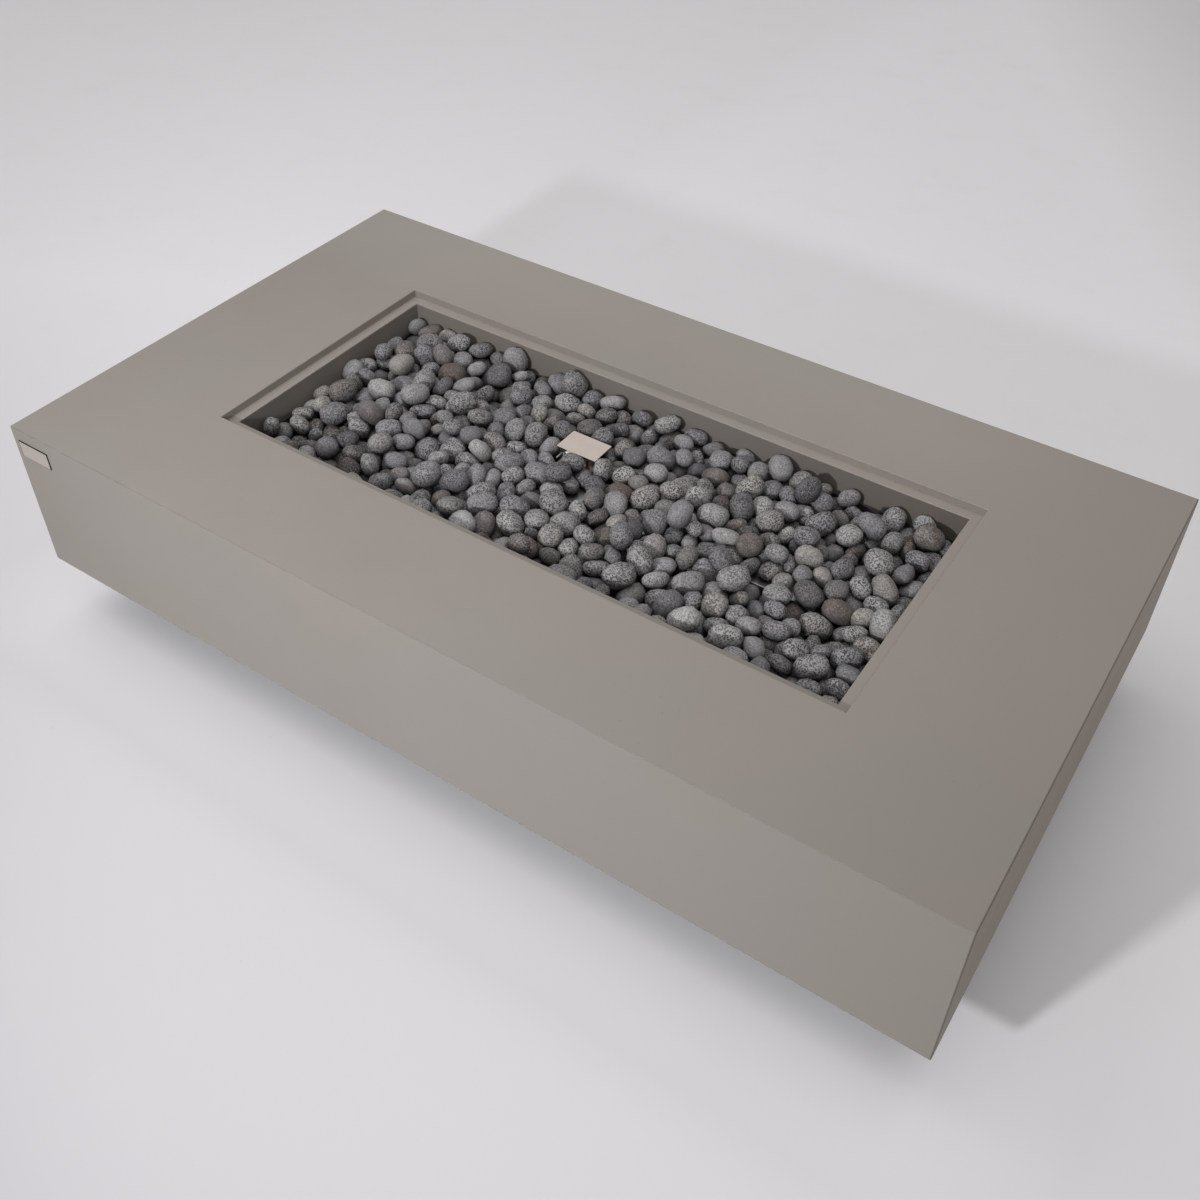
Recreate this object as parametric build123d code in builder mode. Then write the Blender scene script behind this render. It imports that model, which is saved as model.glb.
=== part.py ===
from build123d import *
import math
import os
import random

# A low rectangular fire table. One concrete casting is the top, the four skirts and the fire well.
# It floats on a recessed steel plinth. A linear gas burner lies in the well under lava pebbles,
# and its valve and igniter sit behind a window in the rear skirt.
# The origin is on the floor under the centre of the table, X runs along it and its front faces -Y.
# All sizes are in millimetres.

# Concrete shell
table_length = 1524.0
table_width = 842.0
table_height = 380.0
skirt_height = 266.0
skirt_wall = 24.0
slab_thickness = 34.0
outer_arris = 2.0
well_arris = 1.5

# Fire well, with a ledge near its rim and a lip at its bottom
well_length = 1008.0
well_width = 417.0
well_depth = 81.5
ledge_width = 17.5
ledge_depth = 12.5
collar_wall = 24.0
lip_width = 26.0
lip_thickness = 20.0

# Bare plate near the left top corner of the front face
plate_length = 63.0
plate_height = 29.0
plate_thickness = 1.5
plate_edge = 0.4
plate_from_end = 13.0
plate_from_top = 21.0

# Plinth, posts and rails, which stand clear of the well's collar
rail_to_collar_end = 71.5
rail_to_collar_side = 26.0
plinth_height = 140.0
plinth_flange = 36.0
plinth_sheet = 2.5
plinth_bend = 2.0
post_size = 40.0
post_wall = 2.5
post_clearance = 1.0
rail_height = 30.0
rail_wall = 2.5
pad_length = 80.0
pad_thickness = 4.0
pads_per_rail = 5
foot_height = 12.0
foot_top_diameter = 40.0
foot_bottom_diameter = 50.0

# Bolts, with the play between a shank and its hole
plinth_bolt_diameter = 8.0
plinth_bolt_length = 18.0
plinth_bolt_head = 16.0
plinth_bolt_head_height = 4.5
slab_bolt_diameter = 10.0
slab_bolt_bite = 16.0
slab_bolt_head = 17.0
slab_bolt_head_height = 6.4
slab_bolt_spacing = 750.0
bolt_head_taper = 18.0
bolt_play = 0.4
blind_hole_spare = 2.0

# Burner tray, trough and deck
tray_clearance = 3.0
tray_sheet = 1.5
tray_rim = 24.0
drain_diameter = 8.0
drain_spacing_x = 400.0
drain_spacing_y = 250.0
trough_length = 780.0
trough_width = 67.0
trough_height = 20.0
trough_sheet = 1.5
deck_drop = 4.0
deck_sheet = 1.2
deck_clearance = 0.4
port_diameter = 4.0
port_count = 25
port_spacing = 28.0
port_row_gap = 34.0

# Gas train from the burner down to the pipe
nipple_diameter = 21.3
nipple_bore = 15.0
nipple_play = 0.15
tray_hole_play = 0.5
locknut_across = 32.0
locknut_height = 8.0
mixer_diameter = 29.0
mixer_length = 62.0
mixer_below_locknut = 9.5
mixer_bore = 17.0
mixer_socket_depth = 16.0
mixer_floor = 5.0
mixer_window_width = 9.0
mixer_window_height = 20.0
jet_diameter = 10.0
jet_nose_length = 13.0
jet_across = 17.0
jet_hex_height = 9.0
jet_stub_length = 8.0
jet_hole = 2.0
elbow_size = 24.0
elbow_fillet = 3.0
pipe_diameter = 10.0
pipe_bore = 8.0
pipe_bend = 22.0
pipe_depth_in_elbow = 6.0
pipe_play = 0.1
pipe_nut_across = 17.0
pipe_nut_length = 12.0

# Shield over the ignition point, with its bracket, clamp, electrode and thermocouple
shield_length = 70.0
shield_width = 46.0
shield_sheet = 1.2
shield_x = -53.0
shield_overhang = 5.0
shield_below_top = 33.0
bracket_width = 24.0
bracket_x = -57.0
bracket_sheet = 1.5
bracket_reach = 38.0
bracket_bend = 3.0
clamp_length = 58.0
clamp_reach = 20.0
clamp_height = 16.0
clamp_sheet = 2.0
clamp_skirt = 9.0
probe_spacing = 40.0
probe_reach = 11.0
probe_play = 0.2
insulator_diameter = 9.0
insulator_tip = 7.0
insulator_collar = 12.0
collar_height = 4.0
insulator_below = 13.0
insulator_above = 16.0
electrode_diameter = 2.5
electrode_rise = 5.0
electrode_reach = 24.0
electrode_bend = 4.0
thermocouple_diameter = 6.0
thermocouple_collar = 9.0
thermocouple_tip = 4.4
thermocouple_above = 22.0
thermocouple_below = 14.0
lead_hole = 12.0
ignition_lead_diameter = 3.2
thermocouple_lead_diameter = 2.6
lead_below_lip = 30.0
lead_from_lip = 20.0
lead_crossing = 14.0
lead_run_in = 66.0
lead_from_valve = 36.0
lead_bend = 40.0
lead_tight_bend = 16.0
thermocouple_nut_across = 10.0
thermocouple_nut_length = 8.0

# Window and control panel in the rear skirt
control_spacing = 120.0
window_past_control = 35.0
window_height = 84.0
window_corner = 10.0
panel_sheet = 1.5
panel_margin = 22.0
panel_corner = 6.0
panel_screw_diameter = 5.0
panel_screw_length = 14.0
panel_screw_head = 9.5
panel_screw_head_height = 3.0
panel_screw_inset = 10.0

# Gas valve and knob
valve_length = 44.0
valve_depth = 38.0
valve_height = 52.0
valve_edge = 3.0
valve_shoulder_diameter = 34.0
valve_shoulder_length = 12.0
neck_diameter = 20.0
neck_play = 0.25
neck_nut_across = 27.0
neck_nut_height = 5.0
plug_diameter = 18.0
plug_length = 27.5
plug_play = 0.05
plug_end_gap = 0.5
plug_back_gap = 2.0
cap_diameter = 30.0
cap_thickness = 4.0
cap_spigot = 3.0
stem_diameter = 8.0
stem_play = 0.08
tongue_width = 7.0
tongue_thickness = 3.0
tongue_play = 0.2
tongue_length = 17.0
push_travel = 4.0
push_spare = 1.0
knob_diameter = 44.0
knob_front_diameter = 40.0
knob_base = 6.0
knob_height = 15.5
knob_recess_diameter = 35.0
knob_recess_depth = 4.0
knob_gap = 4.5
knob_grip_width = 9.0
knob_front_wall = 3.0
knob_edge = 1.2
knob_on_stem_play = 0.03
bezel_diameter = 60.0
bezel_inner_diameter = 47.0
bezel_thickness = 2.0

# Gas inlet, a male flare that points down
inlet_hex_across = 19.0
inlet_hex_height = 9.0
inlet_thread_diameter = 15.9
inlet_thread_length = 16.0
inlet_bore = 8.0
inlet_cone = 3.0

# Push-button igniter
igniter_diameter = 22.0
igniter_length = 63.0
igniter_end_wall = 3.5
igniter_flange_diameter = 32.0
igniter_flange_thickness = 3.0
igniter_flange_edge = 1.0
igniter_hole_play = 0.25
igniter_nut_across = 30.0
igniter_nut_height = 6.0
button_diameter = 16.0
button_length = 17.0
button_rise = 7.0
button_travel = 4.0
button_play = 0.08
button_crown = 2.0
battery_diameter = 10.5
battery_length = 43.5
battery_play = 0.25
battery_nub_diameter = 3.8
battery_nub_height = 1.0

# Lava pebbles, one in each cell of a loose grid
pebble_pitch = 38.0
pebble_row_pitch = 33.0
pebble_gap = 0.8
pebble_scatter = 0.2
pebble_stagger = 0.25
pebble_neighbours = 3.0
pebble_height = 35.0
pebble_height_range = 5.0
pebble_least_side = 6.0
pebble_foot = 0.6
pebble_belt = 0.42
pebble_crown = 0.6
pebble_seed = 11
pilot_margin = 4.0

# Heights above the floor
skirt_bottom_z = table_height - skirt_height
slab_under_z = table_height - slab_thickness
ledge_z = table_height - ledge_depth
lip_z = table_height - well_depth
lip_under_z = lip_z - lip_thickness
tray_floor_z = lip_z + tray_sheet
trough_top_z = tray_floor_z + trough_height
trough_floor_z = tray_floor_z + trough_sheet
deck_z = trough_top_z - deck_drop
shield_z = table_height - shield_below_top
bracket_top_z = shield_z - shield_sheet
clamp_z = tray_floor_z + clamp_height + clamp_sheet
rail_top_z = slab_under_z - pad_thickness
rail_under_z = rail_top_z - rail_height
plinth_mid_z = foot_height + plinth_height / 2
mixer_top_z = lip_z - locknut_height - mixer_below_locknut
mixer_bottom_z = mixer_top_z - mixer_length
elbow_top_z = mixer_bottom_z - jet_hex_height
control_z = elbow_top_z - elbow_size / 2
nipple_bottom_z = mixer_top_z - mixer_socket_depth

# Plan positions
collar_length = well_length + 2 * collar_wall
collar_width = well_width + 2 * collar_wall
post_x = collar_length / 2 + rail_to_collar_end + post_size / 2
post_y = collar_width / 2 + rail_to_collar_side + post_size / 2
plinth_length = 2 * post_x + post_size + 2 * plinth_sheet
plinth_width = 2 * post_y + post_size + 2 * plinth_sheet
tray_length = well_length - 2 * tray_clearance
tray_width = well_width - 2 * tray_clearance
trough_rear_y = trough_width / 2
shield_y = trough_rear_y + shield_overhang + shield_width / 2
probe_y = trough_rear_y + bracket_sheet + probe_reach
electrode_x = bracket_x - probe_spacing / 2
thermocouple_x = bracket_x + probe_spacing / 2
panel_back_y = table_width / 2 - skirt_wall
panel_front_y = panel_back_y - panel_sheet
knob_x = -control_spacing / 2
igniter_x = control_spacing / 2
block_back_y = panel_front_y - valve_shoulder_length
block_front_y = block_back_y - valve_depth
valve_y = (block_back_y + block_front_y) / 2
igniter_end_y = panel_back_y - igniter_length


def keep(piece, name):
    """Label a finished piece and write it as its own file."""
    piece.part.label = name
    export_step(piece.part, f"parts/{name}.step")


def wall_plane(y, x=0.0, z=0.0):
    """Upright plane at depth y that faces the rear: its own x is -X and its own y is up."""
    return Plane(origin=(x, y, z), x_dir=(-1, 0, 0), z_dir=(0, 1, 0))


def end_plane(x, z):
    """Upright plane at x that faces the right end: its own x is Y and its own y is up."""
    return Plane(origin=(x, 0, z), x_dir=(0, 1, 0), z_dir=(1, 0, 0))


def turned_on_y(profile, x, z):
    """Piece turned about a line along Y, from (radius, y) points."""
    with BuildPart() as turned:
        with BuildSketch(Plane.XY.offset(z)):
            with BuildLine():
                Polyline([(x + radius, y) for radius, y in profile], close=True)
            make_face()
        revolve(axis=Axis((x, 0, z), (0, 1, 0)))
    return turned


def turned_on_z(profile, x, y):
    """Piece turned about an upright line, from (radius, z) points."""
    with BuildPart() as turned:
        with BuildSketch(Plane.XZ.offset(-y)):
            with BuildLine():
                Polyline([(x + radius, z) for radius, z in profile], close=True)
            make_face()
        revolve(axis=Axis((x, y, 0), (0, 0, 1)))
    return turned


def bent_tube(points, radii, diameter, bore=0.0):
    """Round tube or wire along straight runs joined by arcs."""
    with BuildPart() as tube:
        with BuildLine() as route:
            FilletPolyline(*points, radius=radii)
        with BuildSketch(Plane(origin=route.line @ 0, z_dir=route.line % 0)):
            Circle(diameter / 2)
            if bore > 0:
                Circle(bore / 2, mode=Mode.SUBTRACT)
        sweep()
    return tube


os.makedirs("parts", exist_ok=True)

# Concrete shell: a filleted block hollowed from below, with the well's collar left standing inside
rim_length = well_length + 2 * ledge_width
rim_width = well_width + 2 * ledge_width
window_width = control_spacing + 2 * window_past_control
panel_width = window_width + 2 * panel_margin
panel_height = window_height + 2 * panel_margin
panel_screw_spots = GridLocations(
    panel_width - 2 * panel_screw_inset, panel_height - 2 * panel_screw_inset, 2, 2
).locations
slab_bolt_spots = GridLocations(slab_bolt_spacing, 2 * post_y, 2, 2).locations

with BuildPart() as concrete_shell:
    with BuildSketch(Plane.XY.offset(skirt_bottom_z)):
        Rectangle(table_length, table_width)
    extrude(amount=skirt_height)
    fillet(concrete_shell.edges(), outer_arris)
    with BuildSketch(Plane.XY.offset(skirt_bottom_z)):
        Rectangle(table_length - 2 * skirt_wall, table_width - 2 * skirt_wall)
    extrude(amount=skirt_height - slab_thickness, mode=Mode.SUBTRACT)
    with BuildSketch(Plane.XY.offset(lip_under_z)):
        Rectangle(collar_length, collar_width)
    extrude(amount=slab_under_z - lip_under_z)
    with BuildSketch(Plane.XY.offset(lip_under_z)):
        Rectangle(well_length - 2 * lip_width, well_width - 2 * lip_width)
    extrude(amount=table_height - lip_under_z, mode=Mode.SUBTRACT)
    with BuildSketch(Plane.XY.offset(lip_z)):
        Rectangle(well_length, well_width)
    extrude(amount=well_depth, mode=Mode.SUBTRACT)
    with BuildSketch(Plane.XY.offset(ledge_z)):
        Rectangle(rim_length, rim_width)
    extrude(amount=ledge_depth, mode=Mode.SUBTRACT)
    well_edges = ShapeList()
    for edge_z, length, width in ((table_height, rim_length, rim_width), (ledge_z, well_length, well_width)):
        level_edges = concrete_shell.edges().filter_by_position(Axis.Z, edge_z, edge_z)
        across_edges = level_edges.filter_by_position(Axis.X, -length / 2, length / 2)
        well_edges += across_edges.filter_by_position(Axis.Y, -width / 2, width / 2)
    fillet(well_edges, well_arris)
    with BuildSketch(wall_plane(table_width / 2, 0, control_z)):
        RectangleRounded(window_width, window_height, window_corner)
    extrude(amount=-skirt_wall, mode=Mode.SUBTRACT)
    with BuildSketch(wall_plane(panel_back_y, 0, control_z)):
        with Locations(*panel_screw_spots):
            Circle(panel_screw_diameter / 2 + bolt_play)
    extrude(amount=panel_screw_length - panel_sheet + blind_hole_spare, mode=Mode.SUBTRACT)
    with BuildSketch(Plane.XY.offset(slab_under_z)):
        with Locations(*slab_bolt_spots):
            Circle(slab_bolt_diameter / 2 + bolt_play)
    extrude(amount=slab_bolt_bite + blind_hole_spare, mode=Mode.SUBTRACT)
keep(concrete_shell, "concrete_shell")

# Bare plate, held flat on the front face
plate_x = -table_length / 2 + plate_from_end + plate_length / 2
plate_z = table_height - plate_from_top - plate_height / 2
with BuildPart() as corner_plate:
    with BuildSketch(Plane(origin=(plate_x, -table_width / 2, plate_z), x_dir=(1, 0, 0), z_dir=(0, -1, 0))):
        Rectangle(plate_length, plate_height)
    extrude(amount=plate_thickness)
    chamfer(corner_plate.faces().sort_by(Axis.Y)[0].edges(), plate_edge)
keep(corner_plate, "corner_plate")

# Plinth: folded channels. The long ones are notched for the posts, the short ones nest between them.
post_hole = post_size + 2 * post_clearance
bolt_hole = plinth_bolt_diameter / 2 + bolt_play
middle_post_x = post_x / 3
front_posts = [(x, 0) for x in (-post_x, -middle_post_x, middle_post_x, post_x)]
end_posts = [(-post_y, 0), (post_y, 0)]
long_bolt_z = plinth_mid_z - plinth_bolt_head
short_bolt_z = plinth_mid_z + plinth_bolt_head


def plinth_long_channel(side):
    """Channel along X with its web outside, at the front (-1) or the rear (1)."""
    with BuildPart() as channel:
        with BuildSketch(Plane.YZ.offset(-plinth_length / 2)):
            with Locations((side * (plinth_width - plinth_flange) / 2, plinth_mid_z)):
                outline = Rectangle(plinth_flange, plinth_height)
            outwards = Axis((0, 0, 0), (0, side, 0))
            fillet(outline.vertices().sort_by(outwards)[-2:], plinth_bend)
            with Locations((side * ((plinth_width - plinth_flange) / 2 - plinth_sheet), plinth_mid_z)):
                Rectangle(plinth_flange, plinth_height - 2 * plinth_sheet, mode=Mode.SUBTRACT)
        extrude(amount=plinth_length)
        with BuildSketch(Plane.XY.offset(plinth_mid_z)):
            with Locations(*[(x, side * post_y) for x, _ in front_posts]):
                Rectangle(post_hole, post_size + post_clearance)
        extrude(amount=plinth_height, mode=Mode.SUBTRACT)
        with BuildSketch(wall_plane(side * plinth_width / 2, 0, long_bolt_z)):
            with Locations(*front_posts):
                Circle(bolt_hole)
        extrude(amount=plinth_sheet, both=True, mode=Mode.SUBTRACT)
    return channel


def plinth_short_channel(end):
    """Channel along Y between the long ones, at the left (-1) or the right (1) end."""
    nested_height = plinth_height - 2 * plinth_sheet
    nested_length = plinth_width - 2 * plinth_sheet
    with BuildPart() as channel:
        with BuildSketch(Plane.XZ.offset(-nested_length / 2)):
            with Locations((end * (plinth_length - plinth_flange) / 2, plinth_mid_z)):
                outline = Rectangle(plinth_flange, nested_height)
            outwards = Axis((0, 0, 0), (end, 0, 0))
            fillet(outline.vertices().sort_by(outwards)[-2:], plinth_bend)
            with Locations((end * ((plinth_length - plinth_flange) / 2 - plinth_sheet), plinth_mid_z)):
                Rectangle(plinth_flange, nested_height - 2 * plinth_sheet, mode=Mode.SUBTRACT)
        extrude(amount=nested_length)
        with BuildSketch(Plane.XY.offset(plinth_mid_z)):
            with Locations(*[(end * post_x, y) for y, _ in end_posts]):
                Rectangle(post_size + post_clearance, post_hole)
        extrude(amount=plinth_height, mode=Mode.SUBTRACT)
        with BuildSketch(end_plane(end * plinth_length / 2, short_bolt_z)):
            with Locations(*end_posts):
                Circle(bolt_hole)
        extrude(amount=plinth_sheet, both=True, mode=Mode.SUBTRACT)
    return channel


keep(plinth_long_channel(-1), "plinth_front")
keep(plinth_long_channel(1), "plinth_rear")
keep(plinth_short_channel(-1), "plinth_left")
keep(plinth_short_channel(1), "plinth_right")

# Posts: square tubes that stand on the plinth's lower flanges and carry the rails
corner_foot_z = foot_height + 2 * plinth_sheet
middle_foot_z = foot_height + plinth_sheet
corner_spots = GridLocations(2 * post_x, 2 * post_y, 2, 2).locations
middle_spots = GridLocations(2 * middle_post_x, 2 * post_y, 2, 2).locations
with BuildPart() as frame_posts:
    for spots, foot_z in ((corner_spots, corner_foot_z), (middle_spots, middle_foot_z)):
        with BuildSketch(Plane.XY.offset(foot_z)):
            with Locations(*spots):
                Rectangle(post_size, post_size)
                Rectangle(post_size - 2 * post_wall, post_size - 2 * post_wall, mode=Mode.SUBTRACT)
        extrude(amount=rail_under_z - foot_z)
    for side in (-1, 1):
        with BuildSketch(wall_plane(side * (post_y + post_size / 2), 0, long_bolt_z)):
            with Locations(*front_posts):
                Circle(bolt_hole)
        extrude(amount=-side * post_wall, mode=Mode.SUBTRACT)
        with BuildSketch(end_plane(side * (post_x + post_size / 2), short_bolt_z)):
            with Locations(*end_posts):
                Circle(bolt_hole)
        extrude(amount=-side * post_wall, mode=Mode.SUBTRACT)
keep(frame_posts, "frame_posts")

# Rails: the long ones lie on the posts, the cross rails close the frame between them
long_rail_length = 2 * post_x + post_size
with BuildPart() as frame_long_rails:
    with BuildSketch(Plane.YZ.offset(-long_rail_length / 2)):
        with Locations((-post_y, rail_top_z - rail_height / 2), (post_y, rail_top_z - rail_height / 2)):
            Rectangle(post_size, rail_height)
            Rectangle(post_size - 2 * rail_wall, rail_height - 2 * rail_wall, mode=Mode.SUBTRACT)
    extrude(amount=long_rail_length)
    with BuildSketch(Plane.XY.offset(rail_under_z)):
        with Locations(*slab_bolt_spots):
            Circle(slab_bolt_diameter / 2 + bolt_play)
    extrude(amount=rail_height, mode=Mode.SUBTRACT)
keep(frame_long_rails, "frame_long_rails")

cross_rail_length = 2 * post_y - post_size
with BuildPart() as frame_cross_rails:
    with BuildSketch(Plane.XZ.offset(-cross_rail_length / 2)):
        with Locations((-post_x, rail_top_z - rail_height / 2), (post_x, rail_top_z - rail_height / 2)):
            Rectangle(post_size, rail_height)
            Rectangle(post_size - 2 * rail_wall, rail_height - 2 * rail_wall, mode=Mode.SUBTRACT)
    extrude(amount=cross_rail_length)
keep(frame_cross_rails, "frame_cross_rails")

# Rubber pads between the rails and the concrete
pad_spacing = (long_rail_length - 2 * pad_length) / (pads_per_rail - 1)
with BuildPart() as isolation_pads:
    with BuildSketch(Plane.XY.offset(rail_top_z)):
        with GridLocations(pad_spacing, 2 * post_y, pads_per_rail, 2):
            Rectangle(pad_length, post_size)
    extrude(amount=pad_thickness)
keep(isolation_pads, "isolation_pads")

# Bolts that hold the plinth to the posts, and the concrete down on the rails
with BuildPart() as plinth_bolts:
    for side in (-1, 1):
        rows = (
            (wall_plane(side * plinth_width / 2, 0, long_bolt_z), front_posts),
            (end_plane(side * plinth_length / 2, short_bolt_z), end_posts),
        )
        for plane, spots in rows:
            with BuildSketch(plane):
                with Locations(*spots):
                    Circle(plinth_bolt_head / 2)
            extrude(amount=side * plinth_bolt_head_height, taper=bolt_head_taper)
            with BuildSketch(plane):
                with Locations(*spots):
                    Circle(plinth_bolt_diameter / 2)
            extrude(amount=-side * plinth_bolt_length)
keep(plinth_bolts, "plinth_bolts")

with BuildPart() as slab_bolts:
    with BuildSketch(Plane.XY.offset(rail_under_z)):
        with Locations(*slab_bolt_spots):
            RegularPolygon(slab_bolt_head / 2, 6, major_radius=False)
    extrude(amount=-slab_bolt_head_height)
    with BuildSketch(Plane.XY.offset(rail_under_z)):
        with Locations(*slab_bolt_spots):
            Circle(slab_bolt_diameter / 2)
    extrude(amount=slab_under_z + slab_bolt_bite - rail_under_z)
keep(slab_bolts, "slab_bolts")

# Rubber feet under the posts, tapered towards the plinth
foot_taper = math.degrees(math.atan((foot_bottom_diameter - foot_top_diameter) / 2 / foot_height))
with BuildPart() as feet:
    with BuildSketch():
        with Locations(*corner_spots, *middle_spots):
            Circle(foot_bottom_diameter / 2)
    extrude(amount=foot_height, taper=foot_taper)
keep(feet, "feet")

# Burner tray: a folded pan on the lip, with drains and holes for the inlet and the two leads
lead_spots = [(electrode_x, probe_y), (thermocouple_x, probe_y)]
with BuildPart() as burner_tray:
    with BuildSketch(Plane.XY.offset(lip_z)):
        Rectangle(tray_length, tray_width)
    extrude(amount=tray_rim)
    offset(amount=-tray_sheet, openings=burner_tray.faces().sort_by(Axis.Z)[-1])
    with BuildSketch(Plane.XY.offset(lip_z)):
        Circle(nipple_diameter / 2 + tray_hole_play)
        with Locations(*lead_spots):
            Circle(lead_hole / 2)
        with GridLocations(drain_spacing_x, drain_spacing_y, 3, 2):
            Circle(drain_diameter / 2)
    extrude(amount=tray_sheet, mode=Mode.SUBTRACT)
keep(burner_tray, "burner_tray")

# Burner: a long trough on the tray, and inside it a perforated deck on folded legs
with BuildPart() as burner_trough:
    with BuildSketch(Plane.XY.offset(tray_floor_z)):
        Rectangle(trough_length, trough_width)
    extrude(amount=trough_height)
    offset(amount=-trough_sheet, openings=burner_trough.faces().sort_by(Axis.Z)[-1])
    with BuildSketch(Plane.XY.offset(tray_floor_z)):
        Circle(nipple_bore / 2)
    extrude(amount=trough_sheet, mode=Mode.SUBTRACT)
keep(burner_trough, "burner_trough")

deck_margin = 2 * (trough_sheet + deck_clearance)
with BuildPart() as burner_deck:
    with BuildSketch(Plane.XY.offset(trough_floor_z)):
        Rectangle(trough_length - deck_margin, trough_width - deck_margin)
    extrude(amount=deck_z - trough_floor_z)
    offset(amount=-deck_sheet, openings=burner_deck.faces().sort_by(Axis.Z)[0])
    with BuildSketch(Plane.XY.offset(deck_z)):
        with GridLocations(port_spacing, port_row_gap, port_count, 2):
            Circle(port_diameter / 2)
    extrude(amount=-deck_sheet, mode=Mode.SUBTRACT)
keep(burner_deck, "burner_deck")

# Inlet nipple under the trough, and the lock nut that draws the burner down on the tray
burner_nipple = turned_on_z(
    [
        (nipple_bore / 2, nipple_bottom_z),
        (nipple_diameter / 2, nipple_bottom_z),
        (nipple_diameter / 2, tray_floor_z),
        (nipple_bore / 2, tray_floor_z),
    ],
    0,
    0,
)
keep(burner_nipple, "burner_nipple")

with BuildPart() as nipple_locknut:
    with BuildSketch(Plane.XY.offset(lip_z)):
        RegularPolygon(locknut_across / 2, 6, major_radius=False)
        Circle(nipple_diameter / 2 + nipple_play, mode=Mode.SUBTRACT)
    extrude(amount=-locknut_height)
keep(nipple_locknut, "nipple_locknut")

# Air mixer: a sleeve that the nipple stands in, open to the air through four windows
socket_radius = nipple_diameter / 2 + nipple_play
jet_bore = jet_diameter / 2 + pipe_play
mixer_floor_z = mixer_bottom_z + mixer_floor
mixer_window_z = (mixer_floor_z + nipple_bottom_z) / 2
with BuildPart() as air_mixer:
    with BuildSketch(Plane.XY.offset(mixer_bottom_z)):
        Circle(mixer_diameter / 2)
        Circle(jet_bore, mode=Mode.SUBTRACT)
    extrude(amount=mixer_length)
    with BuildSketch(Plane.XY.offset(mixer_floor_z)):
        Circle(mixer_bore / 2)
    extrude(amount=mixer_length, mode=Mode.SUBTRACT)
    with BuildSketch(Plane.XY.offset(nipple_bottom_z)):
        Circle(socket_radius)
    extrude(amount=mixer_length, mode=Mode.SUBTRACT)
    for plane in (Plane.XZ, Plane.YZ):
        with BuildSketch(plane):
            with Locations((0, mixer_window_z)):
                SlotOverall(mixer_window_height, mixer_window_width, rotation=90)
        extrude(amount=mixer_diameter, both=True, mode=Mode.SUBTRACT)
keep(air_mixer, "air_mixer")

# Brass jet between the mixer and the elbow
with BuildPart() as gas_jet:
    with BuildSketch(Plane.XY.offset(elbow_top_z)):
        RegularPolygon(jet_across / 2, 6, major_radius=False)
    extrude(amount=jet_hex_height)
    with BuildSketch(Plane.XY.offset(elbow_top_z)):
        Circle(jet_diameter / 2)
    extrude(amount=jet_hex_height + jet_nose_length)
    with BuildSketch(Plane.XY.offset(elbow_top_z)):
        Circle(jet_diameter / 2)
    extrude(amount=-jet_stub_length)
    with BuildSketch(Plane.XY.offset(elbow_top_z - jet_stub_length)):
        Circle(jet_hole / 2)
    extrude(amount=jet_stub_length + jet_hex_height + jet_nose_length, mode=Mode.SUBTRACT)
keep(gas_jet, "gas_jet")

# Elbow block that turns the gas up into the jet
with BuildPart() as gas_elbow:
    with BuildSketch(Plane.XY.offset(control_z - elbow_size / 2)):
        Rectangle(elbow_size, elbow_size)
    extrude(amount=elbow_size)
    fillet(gas_elbow.edges(), elbow_fillet)
    with BuildSketch(Plane.XY.offset(elbow_top_z)):
        Circle(jet_bore)
    extrude(amount=-elbow_size / 2, mode=Mode.SUBTRACT)
    with BuildSketch(wall_plane(elbow_size / 2, 0, control_z)):
        Circle(pipe_diameter / 2 + pipe_play)
    extrude(amount=-elbow_size / 2, mode=Mode.SUBTRACT)
keep(gas_elbow, "gas_elbow")

# Gas pipe from the valve's side to the elbow, and its nut
outlet_x = knob_x + valve_length / 2
gas_pipe = bent_tube(
    [
        (outlet_x, valve_y, control_z),
        (0, valve_y, control_z),
        (0, elbow_size / 2 - pipe_depth_in_elbow, control_z),
    ],
    pipe_bend,
    pipe_diameter,
    pipe_bore,
)
keep(gas_pipe, "gas_pipe")

with BuildPart() as pipe_nut:
    with BuildSketch(Plane.YZ.offset(outlet_x)):
        with Locations((valve_y, control_z)):
            RegularPolygon(pipe_nut_across / 2, 6, major_radius=False)
            Circle(pipe_diameter / 2 + pipe_play, mode=Mode.SUBTRACT)
    extrude(amount=pipe_nut_length)
keep(pipe_nut, "pipe_nut")

# Bracket on the trough's rear wall that reaches back under the shield
bracket_web_z = (tray_floor_z + bracket_top_z) / 2
bracket_web_height = bracket_top_z - tray_floor_z
with BuildPart() as shield_bracket:
    with BuildSketch(Plane.YZ.offset(bracket_x - bracket_width / 2)):
        with Locations((trough_rear_y + bracket_sheet / 2, bracket_web_z)):
            Rectangle(bracket_sheet, bracket_web_height)
        with Locations((trough_rear_y + bracket_reach / 2, bracket_top_z - bracket_sheet / 2)):
            Rectangle(bracket_reach, bracket_sheet)
    extrude(amount=bracket_width)
    bend = shield_bracket.edges().filter_by(Axis.X).group_by(Axis.Z)[-1].sort_by(Axis.Y)[0]
    fillet(bend, bracket_bend - bracket_sheet)
keep(shield_bracket, "shield_bracket")

with BuildPart() as ignition_shield:
    with BuildSketch(Plane.XY.offset(bracket_top_z)):
        with Locations((shield_x, shield_y)):
            Rectangle(shield_length, shield_width)
    extrude(amount=shield_sheet)
    fillet(ignition_shield.edges().filter_by(Axis.Z), shield_sheet)
keep(ignition_shield, "ignition_shield")

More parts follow.
